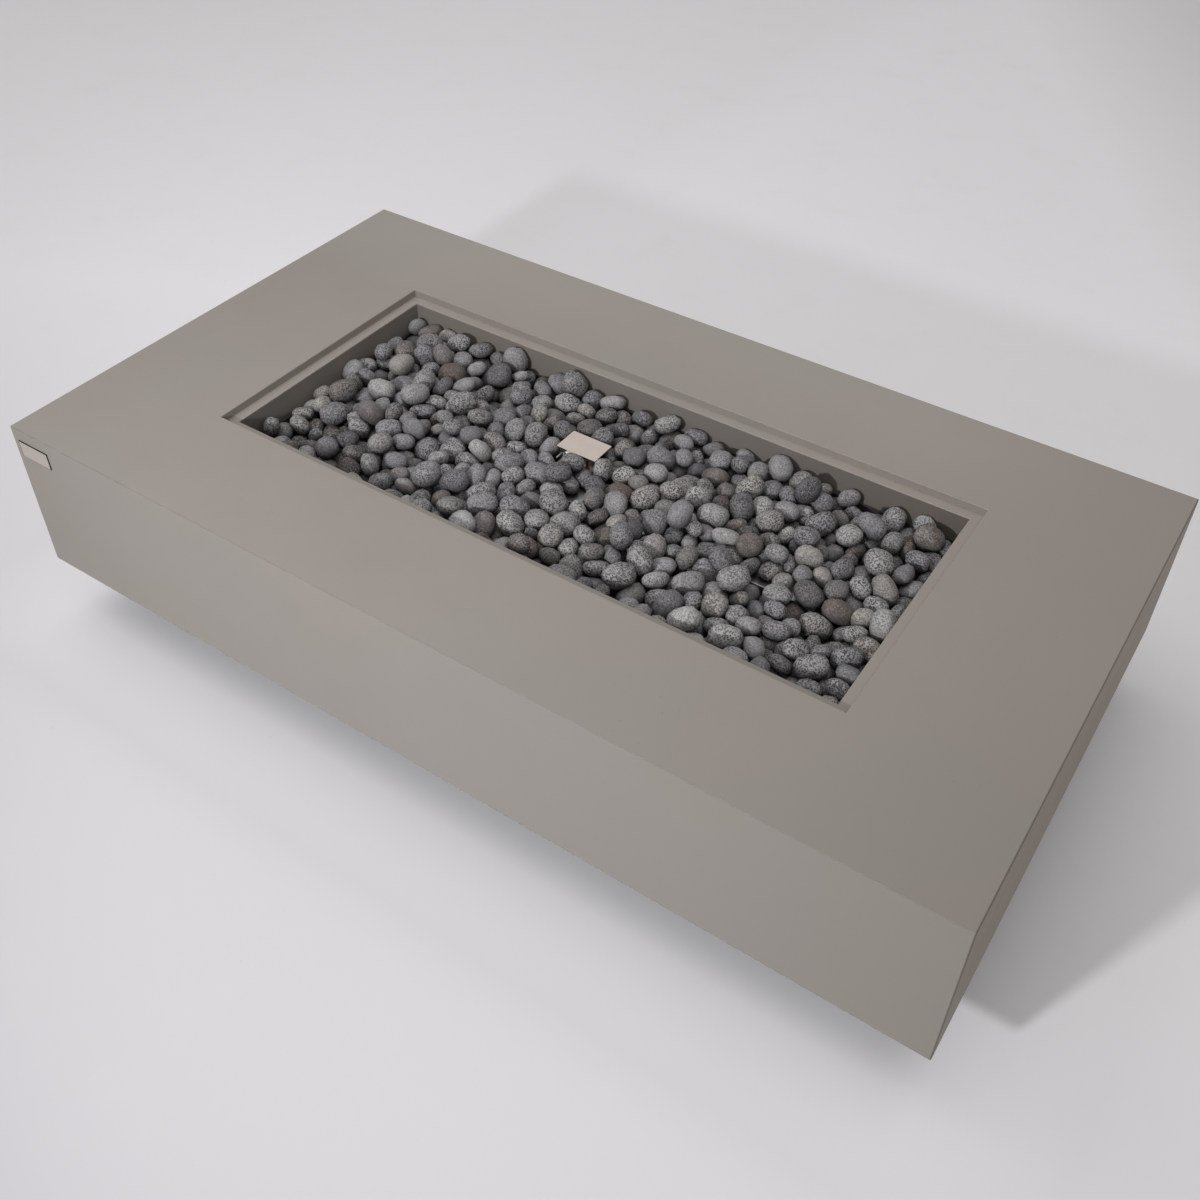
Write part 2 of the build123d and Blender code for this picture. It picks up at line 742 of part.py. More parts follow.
# Clamp welded to the bracket's web, with a hole each for the electrode and the thermocouple
web_back_y = trough_rear_y + bracket_sheet
with BuildPart() as probe_clamp:
    with BuildSketch(Plane.XY.offset(clamp_z - clamp_sheet)):
        with Locations((bracket_x, web_back_y + clamp_reach / 2)):
            Rectangle(clamp_length, clamp_reach)
        with Locations((electrode_x, probe_y)):
            Circle(insulator_diameter / 2 + probe_play, mode=Mode.SUBTRACT)
        with Locations((thermocouple_x, probe_y)):
            Circle(thermocouple_diameter / 2 + probe_play, mode=Mode.SUBTRACT)
    extrude(amount=clamp_sheet)
    with BuildSketch(Plane.XY.offset(clamp_z)):
        with Locations((bracket_x, web_back_y + clamp_sheet / 2)):
            Rectangle(bracket_width, clamp_sheet)
    extrude(amount=clamp_skirt)
keep(probe_clamp, "probe_clamp")

# Ceramic insulator hung in the clamp by its collar, with the spark rod through it
rod_hole = electrode_diameter / 2 + probe_play
insulator_top_z = clamp_z + insulator_above
insulator_bottom_z = clamp_z - insulator_below
electrode_insulator = turned_on_z(
    [
        (rod_hole, insulator_bottom_z),
        (insulator_diameter / 2, insulator_bottom_z),
        (insulator_diameter / 2, clamp_z),
        (insulator_collar / 2, clamp_z),
        (insulator_collar / 2, clamp_z + collar_height),
        (insulator_diameter / 2, clamp_z + collar_height),
        (insulator_tip / 2, insulator_top_z),
        (rod_hole, insulator_top_z),
    ],
    electrode_x,
    probe_y,
)
keep(electrode_insulator, "electrode_insulator")

rod_top_z = insulator_top_z + electrode_rise
spark_electrode = bent_tube(
    [
        (electrode_x, probe_y, insulator_bottom_z),
        (electrode_x, probe_y, rod_top_z),
        (electrode_x, probe_y - electrode_reach, rod_top_z),
    ],
    electrode_bend,
    electrode_diameter,
)
keep(spark_electrode, "spark_electrode")

thermocouple_top_z = clamp_z + thermocouple_above
thermocouple_bottom_z = clamp_z - thermocouple_below
thermocouple = turned_on_z(
    [
        (0, thermocouple_bottom_z),
        (thermocouple_diameter / 2, thermocouple_bottom_z),
        (thermocouple_diameter / 2, clamp_z),
        (thermocouple_collar / 2, clamp_z),
        (thermocouple_collar / 2, clamp_z + collar_height),
        (thermocouple_tip / 2, clamp_z + collar_height),
        (thermocouple_tip / 2, thermocouple_top_z - thermocouple_tip / 2),
        (0, thermocouple_top_z),
    ],
    thermocouple_x,
    probe_y,
)
keep(thermocouple, "thermocouple")

# Leads from the electrode to the igniter and from the thermocouple to the valve
lead_drop_z = lip_under_z - lead_below_lip
lead_turn_y = well_width / 2 - lip_width - lead_from_lip
ignition_lead = bent_tube(
    [
        (electrode_x, probe_y, insulator_bottom_z),
        (electrode_x, probe_y, lead_drop_z),
        (igniter_x, lead_turn_y, lead_drop_z),
        (igniter_x, igniter_end_y - lead_run_in, control_z),
        (igniter_x, igniter_end_y, control_z),
    ],
    [lead_tight_bend, lead_bend, lead_bend],
    ignition_lead_diameter,
)
keep(ignition_lead, "ignition_lead")

valve_side_x = knob_x - valve_length / 2
lead_side_x = valve_side_x - lead_from_valve
thermocouple_lead = bent_tube(
    [
        (thermocouple_x, probe_y, thermocouple_bottom_z),
        (thermocouple_x, probe_y, lead_drop_z + lead_crossing),
        (lead_side_x, lead_turn_y, lead_drop_z + lead_crossing),
        (lead_side_x, valve_y - lead_run_in, control_z),
        (lead_side_x, valve_y, control_z),
        (valve_side_x, valve_y, control_z),
    ],
    [lead_tight_bend, lead_bend, lead_bend, lead_tight_bend],
    thermocouple_lead_diameter,
)
keep(thermocouple_lead, "thermocouple_lead")

with BuildPart() as thermocouple_nut:
    with BuildSketch(Plane.YZ.offset(valve_side_x)):
        with Locations((valve_y, control_z)):
            RegularPolygon(thermocouple_nut_across / 2, 6, major_radius=False)
            Circle(thermocouple_lead_diameter / 2 + pipe_play, mode=Mode.SUBTRACT)
    extrude(amount=-thermocouple_nut_length)
keep(thermocouple_nut, "thermocouple_nut")

# Control panel on the inside of the rear skirt, behind the window, and its screws
with BuildPart() as control_panel:
    with BuildSketch(wall_plane(panel_front_y, 0, control_z)):
        RectangleRounded(panel_width, panel_height, panel_corner)
        with Locations(*panel_screw_spots):
            Circle(panel_screw_diameter / 2 + bolt_play, mode=Mode.SUBTRACT)
        with Locations((-knob_x, 0)):
            Circle(neck_diameter / 2 + neck_play, mode=Mode.SUBTRACT)
        with Locations((-igniter_x, 0)):
            Circle(igniter_diameter / 2 + igniter_hole_play, mode=Mode.SUBTRACT)
    extrude(amount=panel_sheet)
keep(control_panel, "control_panel")

with BuildPart() as panel_screws:
    with BuildSketch(wall_plane(panel_front_y, 0, control_z)):
        with Locations(*panel_screw_spots):
            Circle(panel_screw_head / 2)
    extrude(amount=-panel_screw_head_height, taper=bolt_head_taper)
    with BuildSketch(wall_plane(panel_front_y, 0, control_z)):
        with Locations(*panel_screw_spots):
            Circle(panel_screw_diameter / 2)
    extrude(amount=panel_screw_length)
keep(panel_screws, "panel_screws")

# Gas valve: a block with a shoulder against the panel and a neck through it
neck_length = panel_sheet + neck_nut_height
neck_end_y = panel_front_y + neck_length
plug_front_y = block_front_y + cap_spigot + plug_end_gap
plug_back_y = plug_front_y + plug_length
chamber_end_y = plug_back_y + plug_back_gap
stem_bore = stem_diameter / 2 + stem_play
valve_bottom_z = control_z - valve_height / 2
with BuildPart() as valve_body:
    with BuildSketch(wall_plane(block_front_y, knob_x, control_z)):
        Rectangle(valve_length, valve_height)
    extrude(amount=valve_depth)
    fillet(valve_body.edges().filter_by(Axis.Y), valve_edge)
    with BuildSketch(wall_plane(block_back_y, knob_x, control_z)):
        Circle(valve_shoulder_diameter / 2)
    extrude(amount=valve_shoulder_length)
    with BuildSketch(wall_plane(panel_front_y, knob_x, control_z)):
        Circle(neck_diameter / 2)
    extrude(amount=neck_length)
    with BuildSketch(wall_plane(block_front_y, knob_x, control_z)):
        Circle(plug_diameter / 2 + plug_play)
    extrude(amount=chamber_end_y - block_front_y, mode=Mode.SUBTRACT)
    with BuildSketch(wall_plane(chamber_end_y, knob_x, control_z)):
        Circle(stem_bore)
    extrude(amount=neck_end_y - chamber_end_y, mode=Mode.SUBTRACT)
keep(valve_body, "valve_body")

valve_cap = turned_on_y(
    [
        (0, block_front_y - cap_thickness),
        (cap_diameter / 2, block_front_y - cap_thickness),
        (cap_diameter / 2, block_front_y),
        (plug_diameter / 2, block_front_y),
        (plug_diameter / 2, block_front_y + cap_spigot),
        (0, block_front_y + cap_spigot),
    ],
    knob_x,
    control_z,
)
keep(valve_cap, "valve_cap")

with BuildPart() as neck_nut:
    with BuildSketch(wall_plane(panel_back_y, knob_x, control_z)):
        RegularPolygon(neck_nut_across / 2, 6, major_radius=False)
        Circle(neck_diameter / 2 + neck_play, mode=Mode.SUBTRACT)
    extrude(amount=neck_nut_height)
keep(neck_nut, "neck_nut")

# Male flare fitting under the valve, where the supply hose screws on
inlet_shoulder_z = valve_bottom_z - inlet_hex_height
inlet_end_z = inlet_shoulder_z - inlet_thread_length
with BuildPart() as gas_inlet:
    with BuildSketch(Plane.XY.offset(valve_bottom_z)):
        with Locations((knob_x, valve_y)):
            RegularPolygon(inlet_hex_across / 2, 6, major_radius=False)
    extrude(amount=-inlet_hex_height)
    with BuildSketch(Plane.XY.offset(inlet_shoulder_z)):
        with Locations((knob_x, valve_y)):
            Circle(inlet_thread_diameter / 2)
    extrude(amount=-inlet_thread_length)
    chamfer(gas_inlet.faces().sort_by(Axis.Z)[0].edges(), inlet_cone)
    with BuildSketch(Plane.XY.offset(inlet_end_z)):
        with Locations((knob_x, valve_y)):
            Circle(inlet_bore / 2)
    extrude(amount=inlet_hex_height + inlet_thread_length, mode=Mode.SUBTRACT)
keep(gas_inlet, "gas_inlet")

# Plug that turns in the chamber, with a socket for the stem's tongue
tongue_end_y = plug_back_y - tongue_length + push_travel + push_spare
socket_depth = plug_back_y - tongue_end_y + push_travel + push_spare
with BuildPart() as valve_plug:
    with BuildSketch(wall_plane(plug_front_y, knob_x, control_z)):
        Circle(plug_diameter / 2)
    extrude(amount=plug_length)
    with BuildSketch(wall_plane(plug_back_y, knob_x, control_z)):
        Rectangle(tongue_thickness + 2 * tongue_play, tongue_width + 2 * tongue_play)
    extrude(amount=-socket_depth, mode=Mode.SUBTRACT)
keep(valve_plug, "valve_plug")

# Stem: a round rod with a flat tongue at the plug's end
knob_rear_y = panel_back_y + bezel_thickness + knob_gap
knob_floor_y = knob_rear_y + knob_base
stem_shoulder_y = tongue_end_y + tongue_length
stem_end_y = knob_rear_y + knob_height - knob_front_wall
with BuildPart() as valve_stem:
    with BuildSketch(wall_plane(tongue_end_y, knob_x, control_z)):
        Rectangle(tongue_thickness, tongue_width)
    extrude(amount=tongue_length)
    with BuildSketch(wall_plane(stem_shoulder_y, knob_x, control_z)):
        Circle(stem_diameter / 2)
    extrude(amount=stem_end_y - stem_shoulder_y)
keep(valve_stem, "valve_stem")

# Knob: a dished disc with a grip bar across it
knob_taper = math.degrees(math.atan((knob_diameter - knob_front_diameter) / 2 / knob_base))
with BuildPart() as control_knob:
    with BuildSketch(wall_plane(knob_rear_y, knob_x, control_z)):
        Circle(knob_diameter / 2)
    extrude(amount=knob_base, taper=knob_taper)
    with BuildSketch(wall_plane(knob_floor_y, knob_x, control_z)):
        Circle(knob_front_diameter / 2 - knob_edge)
        Rectangle(knob_grip_width, knob_diameter, mode=Mode.INTERSECT)
    extrude(amount=knob_height - knob_base)
    fillet(control_knob.faces().sort_by(Axis.Y)[-1].edges(), knob_edge)
    with BuildSketch(wall_plane(knob_rear_y, knob_x, control_z)):
        Circle(knob_recess_diameter / 2)
    extrude(amount=knob_recess_depth, mode=Mode.SUBTRACT)
    with BuildSketch(wall_plane(knob_rear_y, knob_x, control_z)):
        Circle(stem_diameter / 2 + knob_on_stem_play)
    extrude(amount=stem_end_y - knob_rear_y, mode=Mode.SUBTRACT)
keep(control_knob, "control_knob")

knob_bezel = turned_on_y(
    [
        (bezel_inner_diameter / 2, panel_back_y),
        (bezel_diameter / 2, panel_back_y),
        (bezel_diameter / 2, panel_back_y + bezel_thickness / 2),
        (bezel_diameter / 2 - bezel_thickness, panel_back_y + bezel_thickness),
        (bezel_inner_diameter / 2, panel_back_y + bezel_thickness),
    ],
    knob_x,
    control_z,
)
keep(knob_bezel, "knob_bezel")

# Igniter: a flanged barrel through the panel, held by a nut, with the battery behind the button
flange_y = panel_back_y + igniter_flange_thickness
button_back_y = flange_y + button_rise - button_length
button_seat_y = button_back_y - button_travel - push_spare
battery_end_y = igniter_end_y + igniter_end_wall
igniter_housing = turned_on_y(
    [
        (0, igniter_end_y),
        (igniter_diameter / 2, igniter_end_y),
        (igniter_diameter / 2, panel_back_y),
        (igniter_flange_diameter / 2, panel_back_y),
        (igniter_flange_diameter / 2, flange_y - igniter_flange_edge),
        (igniter_flange_diameter / 2 - igniter_flange_edge, flange_y),
        (button_diameter / 2 + button_play, flange_y),
        (button_diameter / 2 + button_play, button_seat_y),
        (battery_diameter / 2 + battery_play, button_seat_y),
        (battery_diameter / 2 + battery_play, battery_end_y),
        (0, battery_end_y),
    ],
    igniter_x,
    control_z,
)
keep(igniter_housing, "igniter_housing")

with BuildPart() as igniter_nut:
    with BuildSketch(wall_plane(panel_front_y, igniter_x, control_z)):
        RegularPolygon(igniter_nut_across / 2, 6, major_radius=False)
        Circle(igniter_diameter / 2 + igniter_hole_play, mode=Mode.SUBTRACT)
    extrude(amount=-igniter_nut_height)
keep(igniter_nut, "igniter_nut")

igniter_button = turned_on_y(
    [
        (0, button_back_y),
        (button_diameter / 2, button_back_y),
        (button_diameter / 2, button_back_y + button_length - button_crown),
        (button_diameter / 2 - button_crown, button_back_y + button_length),
        (0, button_back_y + button_length),
    ],
    igniter_x,
    control_z,
)
keep(igniter_button, "igniter_button")

igniter_battery = turned_on_y(
    [
        (0, battery_end_y),
        (battery_diameter / 2, battery_end_y),
        (battery_diameter / 2, battery_end_y + battery_length),
        (battery_nub_diameter / 2, battery_end_y + battery_length),
        (battery_nub_diameter / 2, battery_end_y + battery_length + battery_nub_height),
        (0, battery_end_y + battery_length + battery_nub_height),
    ],
    igniter_x,
    control_z,
)
keep(igniter_battery, "igniter_battery")


# Lava pebbles: the bed is cut into cells round scattered points, and each cell holds one stone
draw = random.Random(pebble_seed)


def trimmed(cell, normal, limit):
    """Part of a convex outline on the near side of a line."""
    kept = []
    for (x0, y0), (x1, y1) in zip(cell, cell[1:] + cell[:1]):
        before = x0 * normal.X + y0 * normal.Y - limit
        after = x1 * normal.X + y1 * normal.Y - limit
        if before <= 0:
            kept.append((x0, y0))
        if before * after < 0:
            share = before / (before - after)
            kept.append((x0 + share * (x1 - x0), y0 + share * (y1 - y0)))
    return kept


def without_short_sides(cell):
    """The outline with one end of each short side left out."""
    kept = []
    for corner in cell:
        if not kept or math.dist(corner, kept[-1]) > pebble_least_side:
            kept.append(corner)
    if math.dist(kept[0], kept[-1]) <= pebble_least_side:
        kept.pop()
    return kept


def pebble_cells(start_x, end_x, start_y, end_y):
    """Cells of a rectangle, each nearer to its own scattered point than to any other."""
    columns = max(1, round((end_x - start_x) / pebble_pitch))
    rows = max(1, round((end_y - start_y) / pebble_row_pitch))
    step_x = (end_x - start_x) / columns
    step_y = (end_y - start_y) / rows
    points = []
    for row in range(rows):
        stagger = pebble_stagger if row % 2 else -pebble_stagger
        for column in range(columns):
            x = start_x + (column + 0.5 + stagger + draw.uniform(-pebble_scatter, pebble_scatter)) * step_x
            y = start_y + (row + 0.5 + draw.uniform(-pebble_scatter, pebble_scatter)) * step_y
            points.append(Vector(x, y))
    cells = []
    for point in points:
        cell = [(start_x, start_y), (end_x, start_y), (end_x, end_y), (start_x, end_y)]
        for other in points:
            apart = other - point
            if 0 < apart.length < pebble_neighbours * pebble_pitch:
                normal = apart.normalized()
                cell = trimmed(cell, normal, normal.dot((point + other) / 2) - pebble_gap / 2)
        cells.append(without_short_sides(cell))
    return cells


def pebble(cell, floor_z):
    """Faceted stone with a flat foot, widest at its belt and drawn in again to its crown."""
    middle_x = sum(x for x, _ in cell) / len(cell)
    middle_y = sum(y for _, y in cell) / len(cell)
    height = pebble_height + draw.uniform(-pebble_height_range, pebble_height_range)
    rings = []
    for rise, spread in ((0, pebble_foot), (pebble_belt, 1), (1, pebble_crown)):
        spokes = [(spread * (x - middle_x), spread * (y - middle_y)) for x, y in cell]
        rings.append([(middle_x + x, middle_y + y, floor_z + rise * height) for x, y in spokes])
    facets = [rings[0], rings[-1]]
    for lower, upper in zip(rings, rings[1:]):
        for side in range(len(cell)):
            facets.append([lower[side - 1], lower[side], upper[side], upper[side - 1]])
    with BuildPart() as stone:
        add(Solid(Shell([Face(Wire.make_polygon(facet)) for facet in facets])))
    return stone.part


def reaches_into(cell, start_x, end_x, start_y, end_y):
    """True where a cell's own box and a rectangle share ground."""
    xs = [x for x, _ in cell]
    ys = [y for _, y in cell]
    return max(xs) > start_x and min(xs) < end_x and max(ys) > start_y and min(ys) < end_y


pilot_half_length = max(shield_length, clamp_length) / 2 + pilot_margin
pilot_back_y = shield_y + shield_width / 2 + pilot_margin
rod_front_y = probe_y - electrode_reach - pilot_margin
kept_free = (
    (shield_x - pilot_half_length, shield_x + pilot_half_length, trough_rear_y, pilot_back_y),
    (electrode_x - pilot_margin, electrode_x + pilot_margin, rod_front_y, trough_rear_y),
)
bed_half_length = tray_length / 2 - tray_sheet - pebble_gap
bed_half_width = tray_width / 2 - tray_sheet - pebble_gap
trough_end_x = trough_length / 2 + pebble_gap
trough_side_y = trough_rear_y + pebble_gap
deck_end_x = trough_length / 2 - trough_sheet - pebble_gap
deck_side_y = trough_rear_y - trough_sheet - pebble_gap
bed_areas = (
    ((-deck_end_x, deck_end_x, -deck_side_y, deck_side_y), deck_z),
    ((-bed_half_length, -trough_end_x, -trough_side_y, trough_side_y), tray_floor_z),
    ((trough_end_x, bed_half_length, -trough_side_y, trough_side_y), tray_floor_z),
    ((-bed_half_length, bed_half_length, -bed_half_width, -trough_side_y), tray_floor_z),
    ((-bed_half_length, bed_half_length, trough_side_y, bed_half_width), tray_floor_z),
)
stones = []
for area, floor_z in bed_areas:
    for cell in pebble_cells(*area):
        if not any(reaches_into(cell, *space) for space in kept_free):
            stones.append(pebble(cell, floor_z))
lava_stones = Compound(stones)
lava_stones.label = "lava_stones"
export_step(lava_stones, "parts/lava_stones.step")
print("pebbles:", len(stones))
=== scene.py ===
# %% [markdown]
# A concrete fire table, dressed in Blender.
# The CAD solids come in as a fixed frame, in metres: the floor is at z = 0, X runs along the table and its
# front faces -Y. This lesson sets the camera and a plain studio, gives every solid its finish, and lays a
# loose pile of lava pebbles in the well.

import math
import random

import bpy
from mathutils import Euler, Matrix, Vector


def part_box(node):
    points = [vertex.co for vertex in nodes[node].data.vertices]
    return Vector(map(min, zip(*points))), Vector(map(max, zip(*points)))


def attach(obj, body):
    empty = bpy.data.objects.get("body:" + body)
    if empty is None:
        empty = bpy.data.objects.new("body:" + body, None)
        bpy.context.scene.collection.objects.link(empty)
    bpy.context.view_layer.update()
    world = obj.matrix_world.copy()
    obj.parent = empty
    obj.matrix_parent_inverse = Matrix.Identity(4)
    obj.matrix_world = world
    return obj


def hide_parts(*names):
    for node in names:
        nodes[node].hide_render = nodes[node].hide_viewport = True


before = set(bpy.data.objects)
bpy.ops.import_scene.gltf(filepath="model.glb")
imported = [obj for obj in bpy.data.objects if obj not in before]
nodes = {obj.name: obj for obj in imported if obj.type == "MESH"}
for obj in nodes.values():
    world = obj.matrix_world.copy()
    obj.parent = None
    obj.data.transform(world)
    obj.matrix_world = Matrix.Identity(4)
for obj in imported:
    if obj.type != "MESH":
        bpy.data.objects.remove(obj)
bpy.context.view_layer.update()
scene = bpy.context.scene
shell_low, shell_high = (Vector(corner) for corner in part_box("concrete_shell"))
top_z = shell_high.z
print("CAD nodes:", len(nodes), "table top at", round(top_z, 4))

# %% [markdown]
# The camera looks down on the table from the front right, close enough for strong perspective. Its place
# was found from the table's straight edges. A lens shift does what cropping the picture off centre does,
# and keeps the view itself square to the object.

# %% Camera
eye_from_top_centre = Vector((0.8396, -1.2370, 1.1657))
turn_left = math.radians(32.9)
tilt_up_from_straight_down = math.radians(48.49)
roll = math.radians(1.06)
picture_side = 1200
optical_centre_x = 611.43
optical_centre_y = 542.60
focal_length_pixels = 1297.73

bpy.ops.object.select_all(action="DESELECT")
bpy.ops.object.camera_add()
camera = bpy.context.object
camera.name = "photo_camera"
camera.data.sensor_width = 36.0
camera.data.lens = focal_length_pixels * camera.data.sensor_width / picture_side
camera.data.shift_x = (picture_side / 2 - optical_centre_x) / picture_side
camera.data.shift_y = (optical_centre_y - picture_side / 2) / picture_side
camera.matrix_world = (
    Matrix.Translation(Vector((0, 0, top_z)) + eye_from_top_centre)
    @ Matrix.Rotation(turn_left, 4, "Z")
    @ Matrix.Rotation(tilt_up_from_straight_down, 4, "X")
    @ Matrix.Rotation(roll, 4, "Z")
)
scene.camera = camera
print("lens", round(camera.data.lens, 2), "mm")

# %% [markdown]
# Shader maths reads best as arithmetic. Signal wraps one output socket, and its operators add Math nodes.
# Finish owns a material, and its node method adds any other node: settings first, then the values or links
# of its inputs.


# %% Small tools for materials
class Signal:
    """One output socket of a finish, which can stand in Python arithmetic."""

    def __init__(self, finish, socket):
        self.finish = finish
        self.socket = socket

    def maths(self, operation, first, second):
        return self.finish.node("Math", {"operation": operation}, {0: first, 1: second})

    def __add__(self, other):
        return self.maths("ADD", self, other)

    def __radd__(self, other):
        return self.maths("ADD", other, self)

    def __sub__(self, other):
        return self.maths("SUBTRACT", self, other)

    def __mul__(self, other):
        return self.maths("MULTIPLY", self, other)

    def __rmul__(self, other):
        return self.maths("MULTIPLY", other, self)


class Finish:
    """A material, built one node at a time."""

    def __init__(self, name, roughness, metallic=0.0):
        self.material = bpy.data.materials.new(name)
        self.material.use_nodes = True
        self.tree = self.material.node_tree
        self.shader = self.tree.nodes["Principled BSDF"]
        self.shader.inputs["Roughness"].default_value = roughness
        self.shader.inputs["Metallic"].default_value = metallic

    def feed(self, socket, value):
        if isinstance(value, Signal):
            self.tree.links.new(value.socket, socket)
        elif socket.type == "RGBA" and len(value) == 3:
            socket.default_value = (*value, 1.0)
        else:
            socket.default_value = value

    def node(self, kind, settings=None, inputs=None, output=0):
        made = self.tree.nodes.new("ShaderNode" + kind)
        for name, value in (settings or {}).items():
            if name == "stops":
                ramp = made.color_ramp.elements
                while len(ramp) < len(value):
                    ramp.new(1.0)
                for element, (place, colour) in zip(ramp, value):
                    element.position = place
                    element.color = (*colour, 1.0)
            else:
                setattr(made, name, value)
        for name, value in (inputs or {}).items():
            self.feed(made.inputs[name], value)
        return Signal(self, made.outputs[output])

    def place(self, stretch=(1, 1, 1)):
        """Object coordinates, stretched by a factor on each axis."""
        coordinates = self.node("TexCoord", output="Object")
        return self.node("Mapping", inputs={"Vector": coordinates, "Scale": stretch})

    def split(self, where, axes="XYZ"):
        """The coordinates of a place, one signal for each axis."""
        return [self.node("SeparateXYZ", inputs={0: where}, output=axis) for axis in axes]

    def noise(self, where, scale, detail=3.0, rough=0.5):
        """Soft noise from 0 to 1, with about scale lumps to each unit of where."""
        inputs = {"Vector": where, "Scale": scale, "Detail": detail, "Roughness": rough}
        return self.node("TexNoise", inputs=inputs)

    def cells(self, where, scale):
        """Distance to the nearest of many scattered points, in units of their spacing."""
        return self.node("TexVoronoi", inputs={"Vector": where, "Scale": scale})

    def ramp(self, value, low, high):
        """0 below low and 1 above high, or the other way round where low is the greater."""
        return self.node("MapRange", inputs={0: value, 1: low, 2: high, 3: 0.0, 4: 1.0})

    def mix(self, share, first, second):
        """The first colour, with a share of the second."""
        return self.node("Mix", {"data_type": "RGBA"}, {0: share, 6: first, 7: second}, output=2)

    def greater(self, first, second):
        return self.node("Math", {"operation": "MAXIMUM"}, {0: first, 1: second})

    def colour(self, value):
        self.feed(self.shader.inputs["Base Color"], value)

    def roughness(self, value):
        self.feed(self.shader.inputs["Roughness"], value)

    def bump(self, height, depth, strength=1.0):
        """Bump whose height of 1 stands depth metres high."""
        normal = self.node("Bump", inputs={"Height": height, "Distance": depth, "Strength": strength})
        self.feed(self.shader.inputs["Normal"], normal)


def paint(finish, *names):
    """Give CAD nodes a finish."""
    for name in names:
        for slot in nodes[name].material_slots:
            slot.material = finish.material


print("material tools ready")

# %% [markdown]
# The floor is a pale studio floor with a faint unevenness, scuffs and a few specks. Its colour also carries
# painted light and shade: it is darker under the front lamp, to cancel the pool of light the lamp throws
# there, lighter with painted light in a strip along the foot of the front skirt, and darker with painted
# shade far out on the right. Far out it fades to the grey of the surround, so that no horizon shows.

# %% Studio floor
floor_side = 24.0
under_lamp = (-0.2, -2.1, 0.0)
lamp_pool_radius, even_radius = 0.4, 2.8
pool_shade_grey, even_grey = (0.378, 0.376, 0.402), (0.850, 0.838, 0.866)
strip_front_y, strip_back_y = -0.56, -0.36
strip_half_length, strip_end_x = 0.70, 0.95
painted_light_grey = (0.885, 0.878, 0.905)
right_shade_from, right_shade_to = 1.5, 2.4
right_shade_grey = (0.50, 0.49, 0.49)
scuff_grey = (0.64, 0.63, 0.64)
speck_grey = (0.30, 0.29, 0.28)
fade_from, fade_to = 3.6, 8.5
surround_colour = (0.680, 0.668, 0.690)

bpy.ops.object.select_all(action="DESELECT")
bpy.ops.mesh.primitive_plane_add(size=floor_side)
floor = bpy.context.object
floor.name = "studio_floor"
pale = Finish("studio_pale", 0.75)
where = pale.place()
worn = pale.noise(where, 0.9)
scuffs = pale.ramp(pale.noise(where, 7.0, 8.0, 0.7), 0.52, 0.75)
specks = pale.ramp(pale.cells(where, 16.0), 0.055, 0.03) * scuffs
right, back = pale.split(where, "XY")
from_lamp = pale.node("VectorMath", {"operation": "DISTANCE"}, {0: where, 1: under_lamp}, output="Value")
# Painted shade: the floor is darker near the front lamp, against the pool of light it throws there.
evened = pale.mix(pale.ramp(from_lamp, lamp_pool_radius, even_radius), pool_shade_grey, even_grey)
# Painted light: a pale strip along the foot of the front skirt lightens the shade under the table's front
# edge.
strip = pale.ramp(back, strip_front_y, strip_back_y)
strip = strip * pale.ramp(right * right, strip_end_x ** 2, strip_half_length ** 2)
brightened = pale.mix(strip * 0.85, evened, painted_light_grey)
# Painted shade: the floor is darker far out on the right.
shaded_right = pale.mix(pale.ramp(right + back * 0.6, right_shade_from, right_shade_to) * 0.60, brightened, right_shade_grey)
scuffed = pale.mix(worn * 0.12 + scuffs * 0.10, shaded_right, scuff_grey)
pale.colour(pale.mix(specks * 0.35, scuffed, speck_grey))
far = pale.node("VectorMath", {"operation": "LENGTH"}, {0: where}, output="Value")
ray_kinds = ("Is Camera Ray", "Is Glossy Ray", "Is Transmission Ray")
direct, mirrored, through = (pale.node("LightPath", output=kind) for kind in ray_kinds)
fade = pale.ramp(far, fade_from, fade_to) * (direct + mirrored + through)
glow = pale.node("Emission", inputs={"Color": surround_colour})
swept = pale.node("MixShader", inputs={0: fade, 1: Signal(pale, pale.shader.outputs[0]), 2: glow})
pale.feed(pale.tree.nodes["Material Output"].inputs["Surface"], swept)
floor.data.materials.append(pale.material)
print("floor:", len(pale.tree.nodes), "shader nodes")

# %% [markdown]
# One small lamp in front of the table casts the crisp shadow behind and beside it. A broad light from
# straight above, one panel on the left and a dim surround fill the rest. The surround lights the table a
# little warm, and shows itself as a plain grey.


# %% Lamps and surround
def add_lamp(kind, name, place, aim):
    """Lamp that faces a point, as the data that sets its power and size."""
    bpy.ops.object.select_all(action="DESELECT")
    bpy.ops.object.light_add(type=kind, location=place)
    lamp = bpy.context.object
    lamp.name = name
    lamp.rotation_euler = (Vector(aim) - Vector(place)).to_track_quat("-Z", "Y").to_euler()
    return lamp.data


front_lamp = add_lamp("SPOT", "front_lamp", (-0.056, -2.342, top_z + 1.067), (0.15, 0.6, top_z))
front_lamp.energy = 137.0
front_lamp.shadow_soft_size = 0.08
front_lamp.spot_size = math.radians(84)
front_lamp.spot_blend = 0.75
overhead = add_lamp("SUN", "overhead_light", (0, 0, 4.5), (0, 0, 0))
overhead.energy = 1.09
overhead.color = (1.0, 0.985, 0.965)
overhead.angle = math.radians(60)
left_panel = add_lamp("AREA", "left_panel", (-1.7, -0.3, 2.7), (-0.3, 0, 0))
left_panel.size = 2.4
left_panel.energy = 16.0

